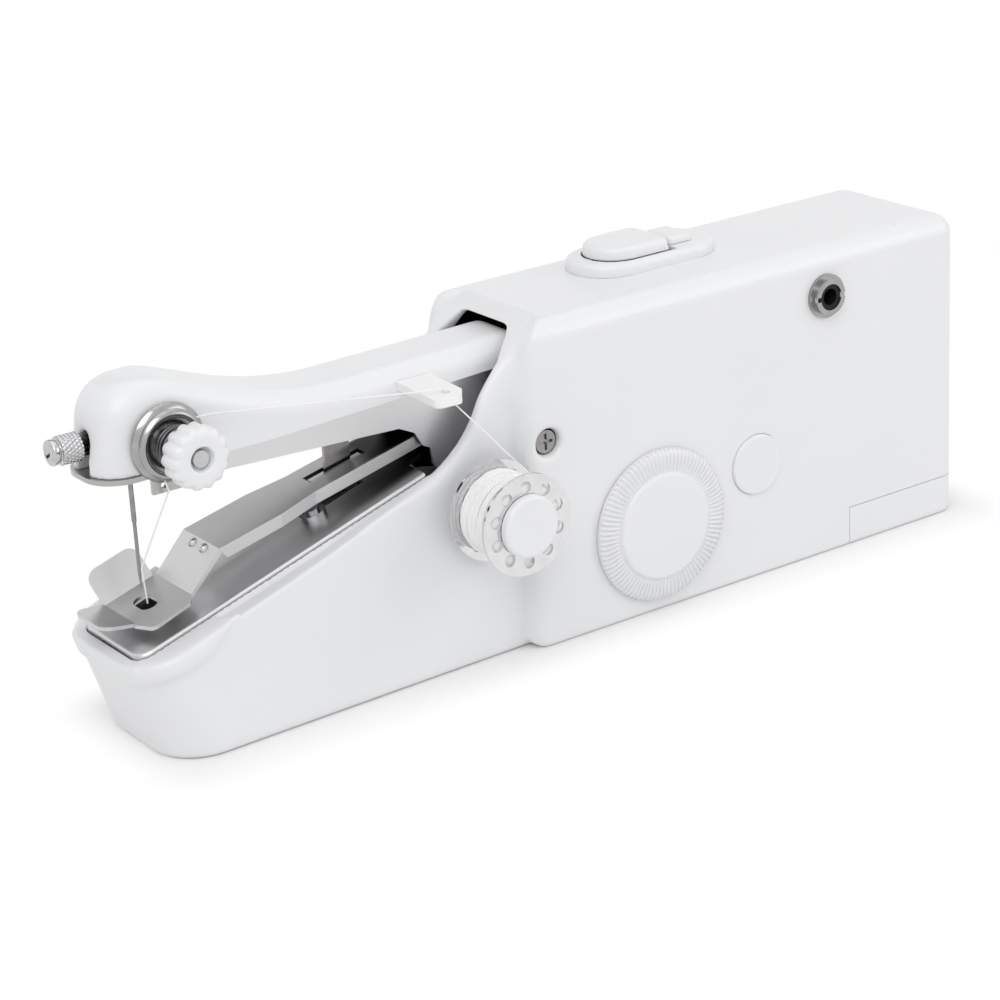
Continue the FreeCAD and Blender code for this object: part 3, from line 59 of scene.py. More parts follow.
class Value:
    """A shader socket that takes part in arithmetic."""

    def __init__(self, tree, socket):
        self.tree = tree
        self.socket = socket

    def _math(self, operation, first, second=0.0):
        return self.tree.node("ShaderNodeMath", {"operation": operation}, {0: first, 1: second})

    def __add__(self, other):
        return self._math("ADD", self, other)

    def __radd__(self, other):
        return self._math("ADD", other, self)

    def __sub__(self, other):
        return self._math("SUBTRACT", self, other)

    def __rsub__(self, other):
        return self._math("SUBTRACT", other, self)

    def __mul__(self, other):
        return self._math("MULTIPLY", self, other)

    def __rmul__(self, other):
        return self._math("MULTIPLY", other, self)

    def __truediv__(self, other):
        return self._math("DIVIDE", self, other)

    def __rtruediv__(self, other):
        return self._math("DIVIDE", other, self)

    def __abs__(self):
        return self._math("ABSOLUTE", self)

    def least(self, low):
        """The value, or low where it is less."""
        return self._math("MAXIMUM", self, low)

    def root(self):
        """The square root."""
        return self._math("SQRT", self)

    def over(self, edge, soft):
        """0 below edge, 1 above it, over a soft width."""
        return self.tree.node(
            "ShaderNodeMapRange",
            {"interpolation_type": "SMOOTHSTEP"},
            {0: self, 1: edge - soft / 2, 2: edge + soft / 2},
        )

    def under(self, edge, soft):
        """1 below edge, 0 above it, over a soft width."""
        return 1 - self.over(edge, soft)


class ShaderTree:
    """A node tree whose nodes all come from one method."""

    def __init__(self, graph):
        self.graph = graph
        self.graph.nodes.clear()

    def node(self, kind, settings=None, sockets=None, output=0):
        """A node's output as a value, several outputs for a tuple, or the node itself for None."""
        made = self.graph.nodes.new(kind)
        for key, value in (settings or {}).items():
            setattr(made, key, value)
        for key, value in (sockets or {}).items():
            self.put(made.inputs[key], value)
        if output is None:
            return made
        if isinstance(output, tuple):
            return [Value(self, made.outputs[key]) for key in output]
        return Value(self, made.outputs[output])

    def put(self, socket, value):
        """Link a value to a socket, or set a plain number, colour or vector on it."""
        if isinstance(value, Value):
            self.graph.links.new(value.socket, socket)
        else:
            socket.default_value = value

    def seen(self):
        """1 where the camera, a reflection or a clear piece looks, and 0 for plain lighting."""
        camera, glossy, through = self.node(
            "ShaderNodeLightPath", output=("Is Camera Ray", "Is Glossy Ray", "Is Transmission Ray")
        )
        return camera + glossy + through


class Finish(ShaderTree):
    """One material: a principled shader and what varies over it."""

    def __init__(self, name, **constants):
        self.material = bpy.data.materials.new(name)
        self.material.use_nodes = True
        super().__init__(self.material.node_tree)
        sockets = {key.replace("_", " ").title().replace("Ior", "IOR"): value for key, value in constants.items()}
        self.shader = self.node("ShaderNodeBsdfPrincipled", None, sockets, None)
        self.out = self.node("ShaderNodeOutputMaterial", None, {0: self.surface()}, None)

    def surface(self):
        """The principled shader, to link on."""
        return Value(self, self.shader.outputs[0])

    def place(self):
        """Where a point lies on the piece, in metres of the frame."""
        return self.node("ShaderNodeTexCoord", output=3)

    def axes(self):
        """The x, y and z of a point."""
        return self.node("ShaderNodeSeparateXYZ", None, {0: self.place()}, (0, 1, 2))

    def stretched(self, scale):
        """The place, scaled along each axis."""
        return self.node("ShaderNodeVectorMath", {"operation": "MULTIPLY"}, {0: self.place(), 1: scale})

    def noise(self, scale, detail=3.0, at=None):
        """Noise from 0 to 1, by default at the point itself."""
        return self.node(
            "ShaderNodeTexNoise",
            None,
            {"Vector": at or self.place(), "Scale": scale, "Detail": detail},
        )

    def mix(self, factor, first, second):
        return self.node("ShaderNodeMix", {"data_type": "RGBA"}, {0: factor, 6: first, 7: second}, output=2)

    def colour(self, value):
        self.put(self.shader.inputs["Base Color"], value)

    def rough(self, value):
        self.put(self.shader.inputs["Roughness"], value)

    def bump(self, height, depth, strength=1.0):
        lifted = self.node("ShaderNodeBump", None, {"Strength": strength, "Distance": depth, "Height": height})
        self.put(self.shader.inputs["Normal"], lifted)


def rgb(r, g, b):
    """A plain colour, with full alpha."""
    return (r, g, b, 1.0)


WHITE = rgb(0.84, 0.845, 0.855)
SHADE = rgb(0.80, 0.806, 0.82)
# The next two: a near black that is both the colour of black plastic and the painted shade in the hollow of the case,
# and a painted deep shade for the steel.
BLACK_AND_PAINTED_SHADE = rgb(0.012, 0.012, 0.013)
DEEP_SHADE = rgb(0.03, 0.03, 0.03)

# Width of a crisp edge between two tones, in metres.
CRISP = 0.0003
# The brow of the mouth: where it starts to lean back, how far, and over which height (mm).
BROW_Z, BROW_LEAN, BROW_BEND = 53.0, 0.66, 8.0
# The hollow of the case, where its painted shade lies, in metres of the frame.
HOLLOW_FRONT, HOLLOW_REAR, HOLLOW_HALF = -0.0102, 0.1032, 0.0162
HOLLOW_FLOOR, HOLLOW_ROOF, HOLLOW_CORNER = 0.0018, 0.0662, 0.0812


def moulded_white(name, roughness, painted_shade_inside=False):
    """Glossy white moulding with a faint ripple; where asked, the hollow of the case is painted near black as painted
    shade.
    """
    finish = Finish(name, specular_ior_level=0.5, coat_weight=0.0)
    tone = finish.mix(finish.noise(38.0, 2.0), WHITE, SHADE)
    # Painted shade: the hollow of the case, which only shadow fills, is painted near black.
    if painted_shade_inside:
        x, y, z = finish.axes()
        rise = (z - BROW_Z * MM).least(0.0)
        brow = BROW_LEAN * rise * rise / (rise + BROW_BEND * MM)
        along = (x - brow).over(HOLLOW_FRONT, 0.0014) * x.under(HOLLOW_REAR, CRISP)
        across = abs(y).under(HOLLOW_HALF, CRISP) * (abs(y) + z).under(HOLLOW_CORNER, CRISP)
        upright = z.over(HOLLOW_FLOOR, CRISP) * z.under(HOLLOW_ROOF, CRISP)
        tone = finish.mix(along * across * upright, tone, BLACK_AND_PAINTED_SHADE)
    finish.colour(tone)
    finish.rough(roughness + 0.10 * (finish.noise(160.0, 3.0) - 0.5))
    finish.bump(finish.noise(1400.0, 2.0), 0.00002, 0.25)
    return finish.material


def milky_tab(name):
    """Unfilled plastic, a little see-through."""
    finish = Finish(name, subsurface_weight=0.25, subsurface_scale=0.001, subsurface_radius=(1.0, 0.98, 0.95))
    finish.colour(finish.mix(finish.noise(120.0, 2.0), rgb(0.87, 0.87, 0.875), rgb(0.91, 0.91, 0.915)))
    finish.rough(0.34 + 0.1 * (finish.noise(300.0) - 0.5))
    finish.bump(finish.noise(1800.0, 2.0), 0.00002, 0.3)
    return finish.material


def rolled_steel(name, along, bright, dark, roughness, shaded=None):
    """Sheet steel with fine rolling lines along one axis; shaded says where painted deep shade darkens it."""
    finish = Finish(name, metallic=1.0)
    scale = tuple(40.0 if axis == along else 1500.0 for axis in "xyz")
    lines = finish.noise(1.0, 3.0, finish.stretched(scale))
    cloud = finish.noise(70.0, 3.0)
    tone = finish.mix(0.5 * lines + 0.5 * cloud, dark, bright)
    # Painted deep shade where the mask says the steel lies in shadow.
    if shaded:
        tone = finish.mix(shaded(*finish.axes()), tone, DEEP_SHADE)
    finish.colour(tone)
    finish.rough(roughness + 0.08 * (lines - 0.5) + 0.06 * (cloud - 0.5))
    finish.bump(lines, 0.000003, 0.2)
    return finish.material


def plated(name, bright, dark, roughness):
    """Nickel plate on a small turned or stamped piece."""
    finish = Finish(name, metallic=1.0)
    cloud = finish.noise(420.0, 4.0)
    finish.colour(finish.mix(cloud, dark, bright))
    finish.rough(roughness + 0.14 * (finish.noise(900.0, 3.0) - 0.5))
    finish.bump(finish.noise(2400.0, 2.0), 0.000006, 0.2)
    return finish.material


def spun_thread(name):
    """White cotton with a fine fuzz and a soft sheen."""
    finish = Finish(name, sheen_weight=0.35, sheen_roughness=0.45)
    fuzz = finish.noise(2600.0, 4.0)
    finish.colour(finish.mix(fuzz, rgb(0.90, 0.90, 0.90), rgb(0.96, 0.96, 0.96)))
    finish.rough(0.72 + 0.2 * (fuzz - 0.5))
    finish.bump(fuzz, 0.00004, 0.4)
    return finish.material


def black_moulding(name):
    """Dull black plastic."""
    finish = Finish(name, specular_ior_level=0.25)
    finish.colour(finish.mix(finish.noise(200.0), rgb(0.006, 0.006, 0.006), BLACK_AND_PAINTED_SHADE))
    finish.rough(0.5 + 0.16 * (finish.noise(500.0) - 0.5))
    finish.bump(finish.noise(1800.0), 0.00003, 0.4)
    return finish.material


def gear_nylon(name):
    """Cream unfilled nylon."""
    finish = Finish(name, subsurface_weight=0.1, subsurface_scale=0.001)
    finish.colour(finish.mix(finish.noise(150.0), rgb(0.74, 0.72, 0.66), rgb(0.80, 0.78, 0.72)))
    finish.rough(0.46 + 0.14 * (finish.noise(300.0) - 0.5))
    finish.bump(finish.noise(1500.0), 0.00002, 0.3)
    return finish.material


def shaded_deck(x, y, z):
    """Painted shade on the rear of the deck, under the presser strip."""
    return x.over(-0.047, 0.030) * abs(y).under(0.0092, 0.0052)


def shaded_channel(x, y, z):
    """Painted shade on the inside of the arm."""
    return abs(y).under(0.0065, CRISP)


def shaded_strip(x, y, z):
    """Painted shade in the slot of the presser strip, and painted shade with a painted dark reflection on its top
    where the arm closes over it.
    """
    slot = abs(y).under(0.00155, 0.0001) * x.over(-0.0510, 0.0002) * x.under(-0.0380, 0.0002)
    return slot.least(x.over(-0.0415, 0.008) * abs(y).under(0.0050, 0.0008))


WHITE_SHELL = moulded_white("white_shell", 0.30, painted_shade_inside=True)
WHITE_PIECE = moulded_white("white_piece", 0.33)
MILKY_TAB = milky_tab("milky_tab")
DECK_STEEL = rolled_steel("deck_steel", "x", rgb(0.72, 0.72, 0.73), rgb(0.60, 0.60, 0.61), 0.38, shaded_deck)
ARM_STEEL = rolled_steel("arm_steel", "x", rgb(0.78, 0.78, 0.79), rgb(0.66, 0.66, 0.67), 0.36, shaded_channel)
HEAD_STEEL = rolled_steel("head_steel", "y", rgb(0.54, 0.53, 0.51), rgb(0.42, 0.41, 0.39), 0.30)
FOOT_STEEL = rolled_steel("foot_steel", "x", rgb(0.68, 0.68, 0.69), rgb(0.57, 0.57, 0.58), 0.34, shaded_strip)
NICKEL = plated("nickel", rgb(0.62, 0.62, 0.63), rgb(0.48, 0.48, 0.49), 0.13)
DISC_STEEL = plated("disc_steel", rgb(0.46, 0.46, 0.46), rgb(0.32, 0.32, 0.32), 0.2)
SPOOL_STEEL = plated("spool_steel", rgb(0.84, 0.84, 0.85), rgb(0.66, 0.66, 0.67), 0.14)
SCREW_STEEL = plated("screw_steel", rgb(0.40, 0.39, 0.38), rgb(0.26, 0.25, 0.25), 0.2)
NEEDLE_STEEL = plated("needle_steel", rgb(0.36, 0.36, 0.37), rgb(0.22, 0.22, 0.23), 0.20)
SPRING_STEEL = plated("spring_wire", rgb(0.16, 0.16, 0.17), rgb(0.08, 0.08, 0.085), 0.30)
BRASS = plated("bush_brass", rgb(0.78, 0.60, 0.30), rgb(0.62, 0.46, 0.22), 0.26)
THREAD = spun_thread("spun_thread")
BLACK = black_moulding("black_moulding")
NYLON = gear_nylon("gear_nylon")

for finish, names in (
    (WHITE_SHELL, "front_shell rear_shell"),
    (WHITE_PIECE, "battery_cover arm_cover switch_bezel power_button lock_slider tension_knob "
                  "spindle_cap handwheel axle_plug"),
    (MILKY_TAB, "thread_guide"),
    (DECK_STEEL, "deck_channel cover_contact battery_contacts looper_bracket motor_can"),
    (ARM_STEEL, "arm_channel"),
    (HEAD_STEEL, "head_plate needle_clamp"),
    (FOOT_STEEL, "presser_foot feed_carriage"),
    (SCREW_STEEL, "pivot_screws case_screws lifter_strap"),
    (NICKEL, "deck_stud pivot_pin bobbin_spindle idler_axle tension_post "
             "clamp_screw main_shaft crank_pin motor_shaft presser_pin looper_shaft looper"),
    (DISC_STEEL, "tension_disc_inner tension_disc_outer jack_nut"),
    (SPOOL_STEEL, "bobbin"),
    (NEEDLE_STEEL, "needle"),
    (SPRING_STEEL, "tension_spring"),
    (BRASS, "shaft_bush"),
    (THREAD, "thread_supply thread_run thread_pack thread_winding"),
    (BLACK, "jack_insulator motor_bell microswitch"),
    (NYLON, "main_gear idler_gear motor_pinion"),
):
    for name in names.split():
        mesh = nodes[name].data
        mesh.materials.clear()
        mesh.materials.append(finish)


# -------------------------------------------------------------------- meshes


def piece(name, verts, faces, finish, body, slot, *stands_for):
    """A mesh in the frame, in millimetres, that rides on a body."""
    mesh = bpy.data.meshes.new(name)
    mesh.from_pydata([Vector(v) * MM for v in verts], [], faces)
    mesh.validate()
    mesh.materials.append(finish)
    mesh.polygons.foreach_set("use_smooth", [True] * len(mesh.polygons))
    made = bpy.data.objects.new(name, mesh)
    bpy.context.scene.collection.objects.link(made)
    if body:
        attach(made, body)
    if stands_for:
        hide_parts(*stands_for)
    return made


def rings_to_faces(rings, around, closed_ends=True, first=0):
    """Quads between rings of points, with capped ends."""
    faces = []
    for i in range(rings - 1):
        for j in range(around):
            k = (j + 1) % around
            a = first + i * around
            faces.append((a + j, a + k, a + around + k, a + around + j))
    if closed_ends:
        faces.append(tuple(first + j for j in reversed(range(around))))
        last = first + (rings - 1) * around
        faces.append(tuple(last + j for j in range(around)))
    return faces


def turned(axis, centre, profile, around, ripple=None):
    """A lathe form: profile is (along, radius) pairs, ripple(along, radius, angle) a change of radius."""
    verts = []
    for along, radius in profile:
        for j in range(around):
            angle = TURN * j / around
            r = max(radius + (ripple(along, radius, angle) if ripple else 0.0), 0.01)
            u, v = r * math.cos(angle), r * math.sin(angle)
            if axis == "X":
                verts.append((along, centre[0] + u, centre[1] + v))
            else:
                verts.append((centre[0] + u, along, centre[1] + v))
    return verts, rings_to_faces(len(profile), around)


def cross_frames(points):
    """Two square directions across a line, at each of its points."""
    frames, side = [], None
    for i in range(len(points)):
        ahead = (points[min(i + 1, len(points) - 1)] - points[max(i - 1, 0)]).normalized()
        if side is None:
            side = ahead.orthogonal().normalized()
        side = (side - ahead * side.dot(ahead)).normalized()
        frames.append((side, ahead.cross(side)))
    return frames


def strand(points, radius, sides, start=0):
    """Verts and faces of a round strand along points."""
    verts = []
    for p, (u, v) in zip(points, cross_frames(points)):
        for j in range(sides):
            angle = TURN * j / sides
            verts.append(p + (u * math.cos(angle) + v * math.sin(angle)) * radius)
    return verts, rings_to_faces(len(points), sides, True, start)


def line_points(route, resolution):
    """Points along a route's spline."""
    curve = bpy.data.curves.new("route", "CURVE")
    curve.dimensions = "3D"
    curve.resolution_u = resolution
    spline = curve.splines.new("NURBS")
    spline.points.add(len(route) - 1)
    for point, place in zip(spline.points, route):
        point.co = (*place, 1.0)
    spline.order_u = 3
    spline.use_endpoint_u = True
    holder = bpy.data.objects.new("route", curve)
    mesh = bpy.data.meshes.new_from_object(holder)
    points = [v.co.copy() for v in mesh.vertices]
    bpy.data.objects.remove(holder)
    bpy.data.curves.remove(curve)
    bpy.data.meshes.remove(mesh)
    kept = [points[0]]
    for p in points[1:]:
        if (p - kept[-1]).length > 0.02:
            kept.append(p)
    return kept


def plied(points, radius, plies=3, lay=1.5, sides=6):
    """Plies twisted round a line."""
    verts, faces = [], []
    run = [0.0]
    for a, b in zip(points, points[1:]):
        run.append(run[-1] + (b - a).length)
    frames = cross_frames(points)
    for k in range(plies):
        twisted = []
        for p, s, (u, v) in zip(points, run, frames):
            angle = TURN * (s / lay + k / plies)
            twisted.append(p + (u * math.cos(angle) + v * math.sin(angle)) * (radius * 0.5))
        more, quads = strand(twisted, radius * 0.55, sides, len(verts))
        verts += more
        faces += quads
    return verts, faces


def shell_halves():
    """The two half shells as one skin, without the faces where they meet."""
    skin = bmesh.new()
    for name in ("front_shell", "rear_shell"):
        skin.from_mesh(nodes[name].data)
    joint = [f for f in skin.faces if all(abs(v.co.y) < 1e-6 for v in f.verts)]
    bmesh.ops.delete(skin, geom=joint, context="FACES")
    on_joint = [v for v in skin.verts if abs(v.co.y) < 2e-5]
    for vert in on_joint:
        vert.co.y = 0.0
    bmesh.ops.remove_doubles(skin, verts=on_joint, dist=2e-5)
    bmesh.ops.remove_doubles(skin, verts=skin.verts, dist=2e-6)
    return skin


def keep_side(skin, x, front):
    """Cut a skin square to its length and keep one side."""
    geom = list(skin.verts) + list(skin.edges) + list(skin.faces)
    cut = bmesh.ops.bisect_plane(skin, geom=geom, dist=1e-7, plane_co=(x * MM, 0, 0), plane_no=(1, 0, 0),
                                 clear_outer=front, clear_inner=not front)
    return [e for e in cut["geom_cut"] if isinstance(e, bmesh.types.BMEdge)]


def skin_mesh(name, skin):
    """A skin's mesh; the skin is used up."""
    mesh = bpy.data.meshes.new(name)
    skin.to_mesh(mesh)
    skin.free()
    return mesh


def mesh_skin(mesh):
    """A mesh's skin; the mesh is used up."""
    skin = bmesh.new()
    skin.from_mesh(mesh)
    bpy.data.meshes.remove(mesh)
    return skin


def joined(first, second):
    """Two skins as one."""
    mesh = skin_mesh("joined", second)
    first.from_mesh(mesh)
    bpy.data.meshes.remove(mesh)
    return first


def moulding(name, skin, finish, sharp, body, slot, *stands_for):
    """A smooth skin as a piece: sharp above an angle, with the normals of its broad faces kept."""
    mesh = skin_mesh(name, skin)
    mesh.materials.append(finish)
    mesh.polygons.foreach_set("use_smooth", [True] * len(mesh.polygons))
    mesh.set_sharp_from_angle(angle=math.radians(sharp))
    made = bpy.data.objects.new(name, mesh)
    bpy.context.scene.collection.objects.link(made)
    weighing = made.modifiers.new("broad_faces", "WEIGHTED_NORMAL")
    weighing.keep_sharp = True
    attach(made, body)
    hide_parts(*stands_for)


def softened(points, edges, strength, rounds):
    """Points drawn towards the middle of their neighbours, more where strength is higher."""
    links = numpy.bincount(edges.ravel(), minlength=len(points)).clip(1)[:, None]
    for _ in range(rounds):
        total = numpy.zeros_like(points)
        for axis in range(3):
            total[:, axis] = numpy.bincount(edges[:, 0], points[edges[:, 1], axis], len(points))
            total[:, axis] += numpy.bincount(edges[:, 1], points[edges[:, 0], axis], len(points))
        points = points + 0.5 * strength[:, None] * (total / links - points)
    return points


def eased(values, low, high):
    """0 below low, 1 above high, and a smooth rise between."""
    t = ((values - low) / (high - low)).clip(0.0, 1.0)
    return t * t * (3.0 - 2.0 * t)


def voxel_copy(mesh, size):
    """A mesh remade on an even grid, with its points in millimetres and its edges; the mesh is used up."""
    form = bpy.data.objects.new("form", mesh)
    bpy.context.scene.collection.objects.link(form)
    grid = form.modifiers.new("grid", "REMESH")
    grid.mode = "VOXEL"
    grid.voxel_size = size * MM
    fine = bpy.data.meshes.new_from_object(form.evaluated_get(bpy.context.evaluated_depsgraph_get()))
    bpy.data.objects.remove(form)
    bpy.data.meshes.remove(mesh)
    points = numpy.empty(len(fine.vertices) * 3)
    fine.vertices.foreach_get("co", points)
    edges = numpy.empty(len(fine.edges) * 2, dtype=numpy.int64)
    fine.edges.foreach_get("vertices", edges)
    return fine, points.reshape(-1, 3) / MM, edges.reshape(-1, 2)


def snapped(points, surface):
    """Points moved to the nearest place on a surface."""
    return numpy.array([Vector(surface.find_nearest(p * MM)[0]) / MM for p in points])


# Where the soft jaw meets the crisp case, and the plane of the rim round the deck (mm).
CASE_SEAM = 1.0
RIM_LEVEL, RIM_SLOPE = 50.6, 0.303
LIP_END, LIP_STEP = -79.9, 0.85


def rim_drop(points):
    """How far each point lies below the plane of the rim."""
    return RIM_LEVEL + RIM_SLOPE * points[:, 0] - points[:, 2]


def jaw_softness(points):
    """How far each point of the jaw is rounded: little beside the deck, along the rim and at the foot of the wall."""
    x, y, z = points.T
    share = 0.3 * eased(-x, 0.5, 7.0) + 0.7 * eased(-x, 12.0, 24.0)
    share *= 0.12 + 0.88 * eased(z, 3.0, 9.0)
    beside_deck = eased(12.6 - abs(y), 0.0, 0.5) * eased(-30.0 - x, 0.0, 1.0)
    share *= (1.0 - 0.92 * beside_deck) * (1.0 - 0.55 * eased(-74.0 - x, 0.0, 6.0))
    behind_lip = eased(x, -79.5, -77.0) * (1.0 - eased(x, -42.0, -30.0))
    on_rim = (1.0 - eased(abs(rim_drop(points)), 2.0, 4.0)) * behind_lip
    return share * (1.0 - 0.9 * on_rim)


def mouth_softness(points):
    """How far the outer edge of the mouth is rounded; its inner edge stays crisp."""
    x, y, z = points.T
    outer = eased(abs(y), 12.5, 14.0).clip(eased(z, 65.8, 66.8), 1.0)
    return eased(-x, 8.5, 10.5) * outer * eased(z, 50.0, 56.0)


def brow_lean(points):
    """How far the brow of the mouth leans back towards the top of the case."""
    x, y, z = points.T
    share = (1.0 - eased(x, -12.5, 0.5)) * (1.0 - 0.6 * eased(abs(y), 12.0, 17.0))
    rise = (z - BROW_Z).clip(0.0, None)
    return BROW_LEAN * rise * rise / (rise + BROW_BEND) * share


def rim_step(points):
    """How far the rim behind the lip lies lower than the lip, which ends in a rounded step."""
    x, y, _ = points.T
    side = (abs(y) - 12.0).clip(0.0, 4.0) / 4.0
    behind = eased(x - LIP_END - 3.4 * side**2, -0.45, 0.45) * (1.0 - eased(x, -60.0, -38.0))
    return LIP_STEP * behind * (1.0 - eased(rim_drop(points), 0.1, 2.8)) * eased(abs(y), 11.7, 12.4)


def soft_jaw():
    """The jaw and the mouth of the case, with the full round edges of a moulding."""
    skin = shell_halves()
    bmesh.ops.edgeloop_fill(skin, edges=keep_side(skin, CASE_SEAM + 2.0, True))
    moulded = BVHTree.FromBMesh(skin)
    fine, points, edges = voxel_copy(skin_mesh("jaw_form", skin), 0.45)
    mouth = points[:, 0] > -10.0
    points[mouth] = snapped(points[mouth], moulded)
    points = softened(points, edges, jaw_softness(points), 44)
    points = softened(points, edges, eased(-points[:, 0], 9.0, 11.0) * eased(points[:, 2], 45.0, 50.0), 9)
    points = softened(points, edges, mouth_softness(points), 60)
    points[:, 2] -= rim_step(points)
    points[:, 0] += brow_lean(points)
    fine.vertices.foreach_set("co", (points * MM).ravel())
    jaw = mesh_skin(fine)
    keep_side(jaw, CASE_SEAM, True)
    return jaw


def case_moulding():
    """The whole white case: the soft jaw in front and the crisp case behind it."""
    case = shell_halves()
    keep_side(case, CASE_SEAM, False)
    case = joined(case, soft_jaw())
    moulding("case_moulding", case, WHITE_SHELL, 32, "housing", "white_plastic", "front_shell", "rear_shell")


def soft_piece(stands_for, size, rounds, softness, body, slot, shape=None, seam=None):
    """A white piece with the round edges of a moulding, on a grid of the given size, as far back as a seam."""
    mesh = nodes[stands_for].data
    surface = BVHTree.FromPolygons([v.co for v in mesh.vertices], [tuple(p.vertices) for p in mesh.polygons])
    fine, points, edges = voxel_copy(mesh.copy(), size)
    points = snapped(points, surface)
    points = softened(points, edges, softness(*points.T), rounds)
    if shape:
        points = points + shape(*points.T)
    fine.vertices.foreach_set("co", (points * MM).ravel())
    skin = mesh_skin(fine)
    if seam is not None:
        keep_side(skin, seam, True)
        crisp = mesh_skin(mesh.copy())
        keep_side(crisp, seam, False)
        skin = joined(skin, crisp)
    moulding("soft_" + stands_for, skin, WHITE_PIECE, 38, body, slot, stands_for)


SWITCH_X, SWITCH_Y, BUTTON_HALF = 35.6, 4.2, 6.6
DIMPLE_X, DIMPLE_Y, DIMPLE_DEPTH = 36.9, 8.0, 0.35
COVER_SEAM = -76.0


def button_shape(x, y, z):
    """The button's rear end drawn back, most at its corners, and a small dimple in its top."""
    across = abs(y - SWITCH_Y) / BUTTON_HALF
    back = (0.7 + 0.9 * across**4) * eased(x, 34.0, 39.6) * eased(z, 70.4, 70.7)
    dimple = DIMPLE_DEPTH * numpy.exp(-((x - DIMPLE_X) ** 2 + (y - DIMPLE_Y) ** 2) / 0.7) * eased(z, 72.4, 73.0)
    return numpy.stack((-back, numpy.zeros_like(y), -dimple), axis=1)


def button_softness(x, y, z):
    """How far the button is rounded: all but its lower edge and stem."""
    return eased(z, 70.9, 71.8)


def slider_softness(x, y, z):
    """How far the slider is rounded: all but its lower edge and stem."""
    return eased(z, 70.8, 71.4)


def cover_softness(x, y, z):
    """How far the arm's cover is rounded: the top of its front end."""
    ahead = COVER_SEAM - x
    return 0.04 * eased(ahead, 0.5, 2.5) + 0.96 * eased(ahead, 2.0, 10.0) * eased(z, 60.0, 66.0)


def bezel_softness(x, y, z):
    """How far the bezel is rounded: its outer edge only."""
    out = numpy.hypot((abs(x - SWITCH_X) - 8.5).clip(0.0, None), y - SWITCH_Y)
    return eased(z, 68.4, 69.6) * eased(out, 7.0, 7.6)


case_moulding()
soft_piece("arm_cover", 0.4, 60, cover_softness, "arm", "white_plastic", seam=COVER_SEAM)
soft_piece("switch_bezel", 0.3, 26, bezel_softness, "housing", "white_small")
soft_piece("power_button", 0.25, 34, button_softness, "button", "white_small", button_shape)
soft_piece("lock_slider", 0.2, 24, slider_softness, "lock", "white_small")

# Thread from the spool to the guide, and on to the discs, tab and needle.
SPOOL_X, SPOOL_Z, SPOOL_BACK, SPOOL_WIDE = -20.4, 33.4, -18.5, 11.4
SPOOL_MID = SPOOL_BACK - SPOOL_WIDE / 2
POST_X, POST_Z = -84.8, 61.1
NEEDLE_X, NEEDLE_TIP = -88.6, 30.6
EYE = Vector((-30.8, -20.0, 59.8))
WOUND_RADIUS, LEAVES = 8.85, math.radians(39)
SPOOL_TOP = Vector((SPOOL_X + WOUND_RADIUS * math.cos(LEAVES), SPOOL_MID, SPOOL_Z + WOUND_RADIUS * math.sin(LEAVES)))
THREAD_RADIUS = 0.17

supply = piece(
    "thread_to_guide",
    *plied(line_points([SPOOL_TOP, (SPOOL_TOP + EYE) / 2, EYE], 60), THREAD_RADIUS),
    THREAD, None, "thread",
)
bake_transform(supply)
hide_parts("thread_supply")

TAB = Vector((-86.2, -10.45, 52.4))
FOOT = Vector((NEEDLE_X + 0.7, -0.6, 27.4))
BENDS = [
    EYE + Vector((-0.3, 0.2, 1.2)),
    Vector((POST_X + 8.6, -10.5, POST_Z + 3.7)),
    Vector((POST_X + 2.6, -10.5, POST_Z + 3.9)),
    Vector((POST_X - 3.9, -10.5, POST_Z)),
    TAB,
    Vector((NEEDLE_X + 0.1, -0.75, NEEDLE_TIP + 4.2)),
]
tight_bends = [p for p in BENDS for _ in range(2)]
run = piece(
    "thread_to_needle",
    *plied(line_points([EYE, *tight_bends, FOOT], 90), THREAD_RADIUS),
    THREAD, None, "thread",
)
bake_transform(run)
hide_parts("thread_run")


def wound_spool():
    """Turns of thread on the spool: an even lower layer and a few crossing turns over it."""
    low, high = SPOOL_BACK - 0.85, SPOOL_BACK - SPOOL_WIDE + 0.85
    core = [(low + 0.1, 3.7), (low + 0.1, 7.9), (low, 8.15), (high, 8.15), (high - 0.1, 7.9), (high - 0.1, 3.7)]
    verts, faces = turned("Y", (SPOOL_X, SPOOL_Z), core, 96)
    for radius, turns, begin, end, phase in ((8.3, 26.0, low, high, 0.0), (8.52, 9.0, high + 0.3, low - 0.3, 1.9)):
        count = int(turns * 44)
        path = []
        for i in range(count + 1):
            t = i / count
            angle = phase + TURN * turns * t
            wander = 0.10 * math.sin(7.0 * angle / 9.0 + phase)
            along = begin + (end - begin) * t + wander * (1 - t) * t * 4
            path.append(Vector((SPOOL_X + radius * math.cos(angle), along, SPOOL_Z + radius * math.sin(angle))))
        more, quads = strand(path, 0.19, 6, len(verts))
        verts += [tuple(v) for v in more]
        faces += quads
    return verts, faces


piece("wound_thread", *wound_spool(), THREAD, "spool", "thread", "thread_pack", "thread_winding")


def tension_coil():
    """Open coil with closed end turns."""
    path = []
    turns, count = 4.4, 260
    for i in range(count + 1):
        t = i / count
        rise = min(max((t - 0.14) / 0.72, 0.0), 1.0)
        angle = TURN * turns * t
        path.append(Vector((POST_X + 3.9 * math.cos(angle), -12.3 - 0.10 * t - 3.95 * rise,
                            POST_Z + 3.9 * math.sin(angle))))
    return strand(path, 0.4, 12)


piece("tension_coil", *tension_coil(), SPRING_STEEL, "arm", "spring_steel", "tension_spring")


def ring_faces(rings, around):
    """Quads round a closed ring of rings."""
    faces = rings_to_faces(rings, around, False)
    last = (rings - 1) * around
    return faces + [(last + j, last + (j + 1) % around, (j + 1) % around, j) for j in range(around)]


def ring_turned(profile, around, ripple=None):
    """A lathe form with a bore, on the tension post."""
    verts, _ = turned("Y", (POST_X, POST_Z), profile, around, ripple)
    return verts, ring_faces(len(profile), around)


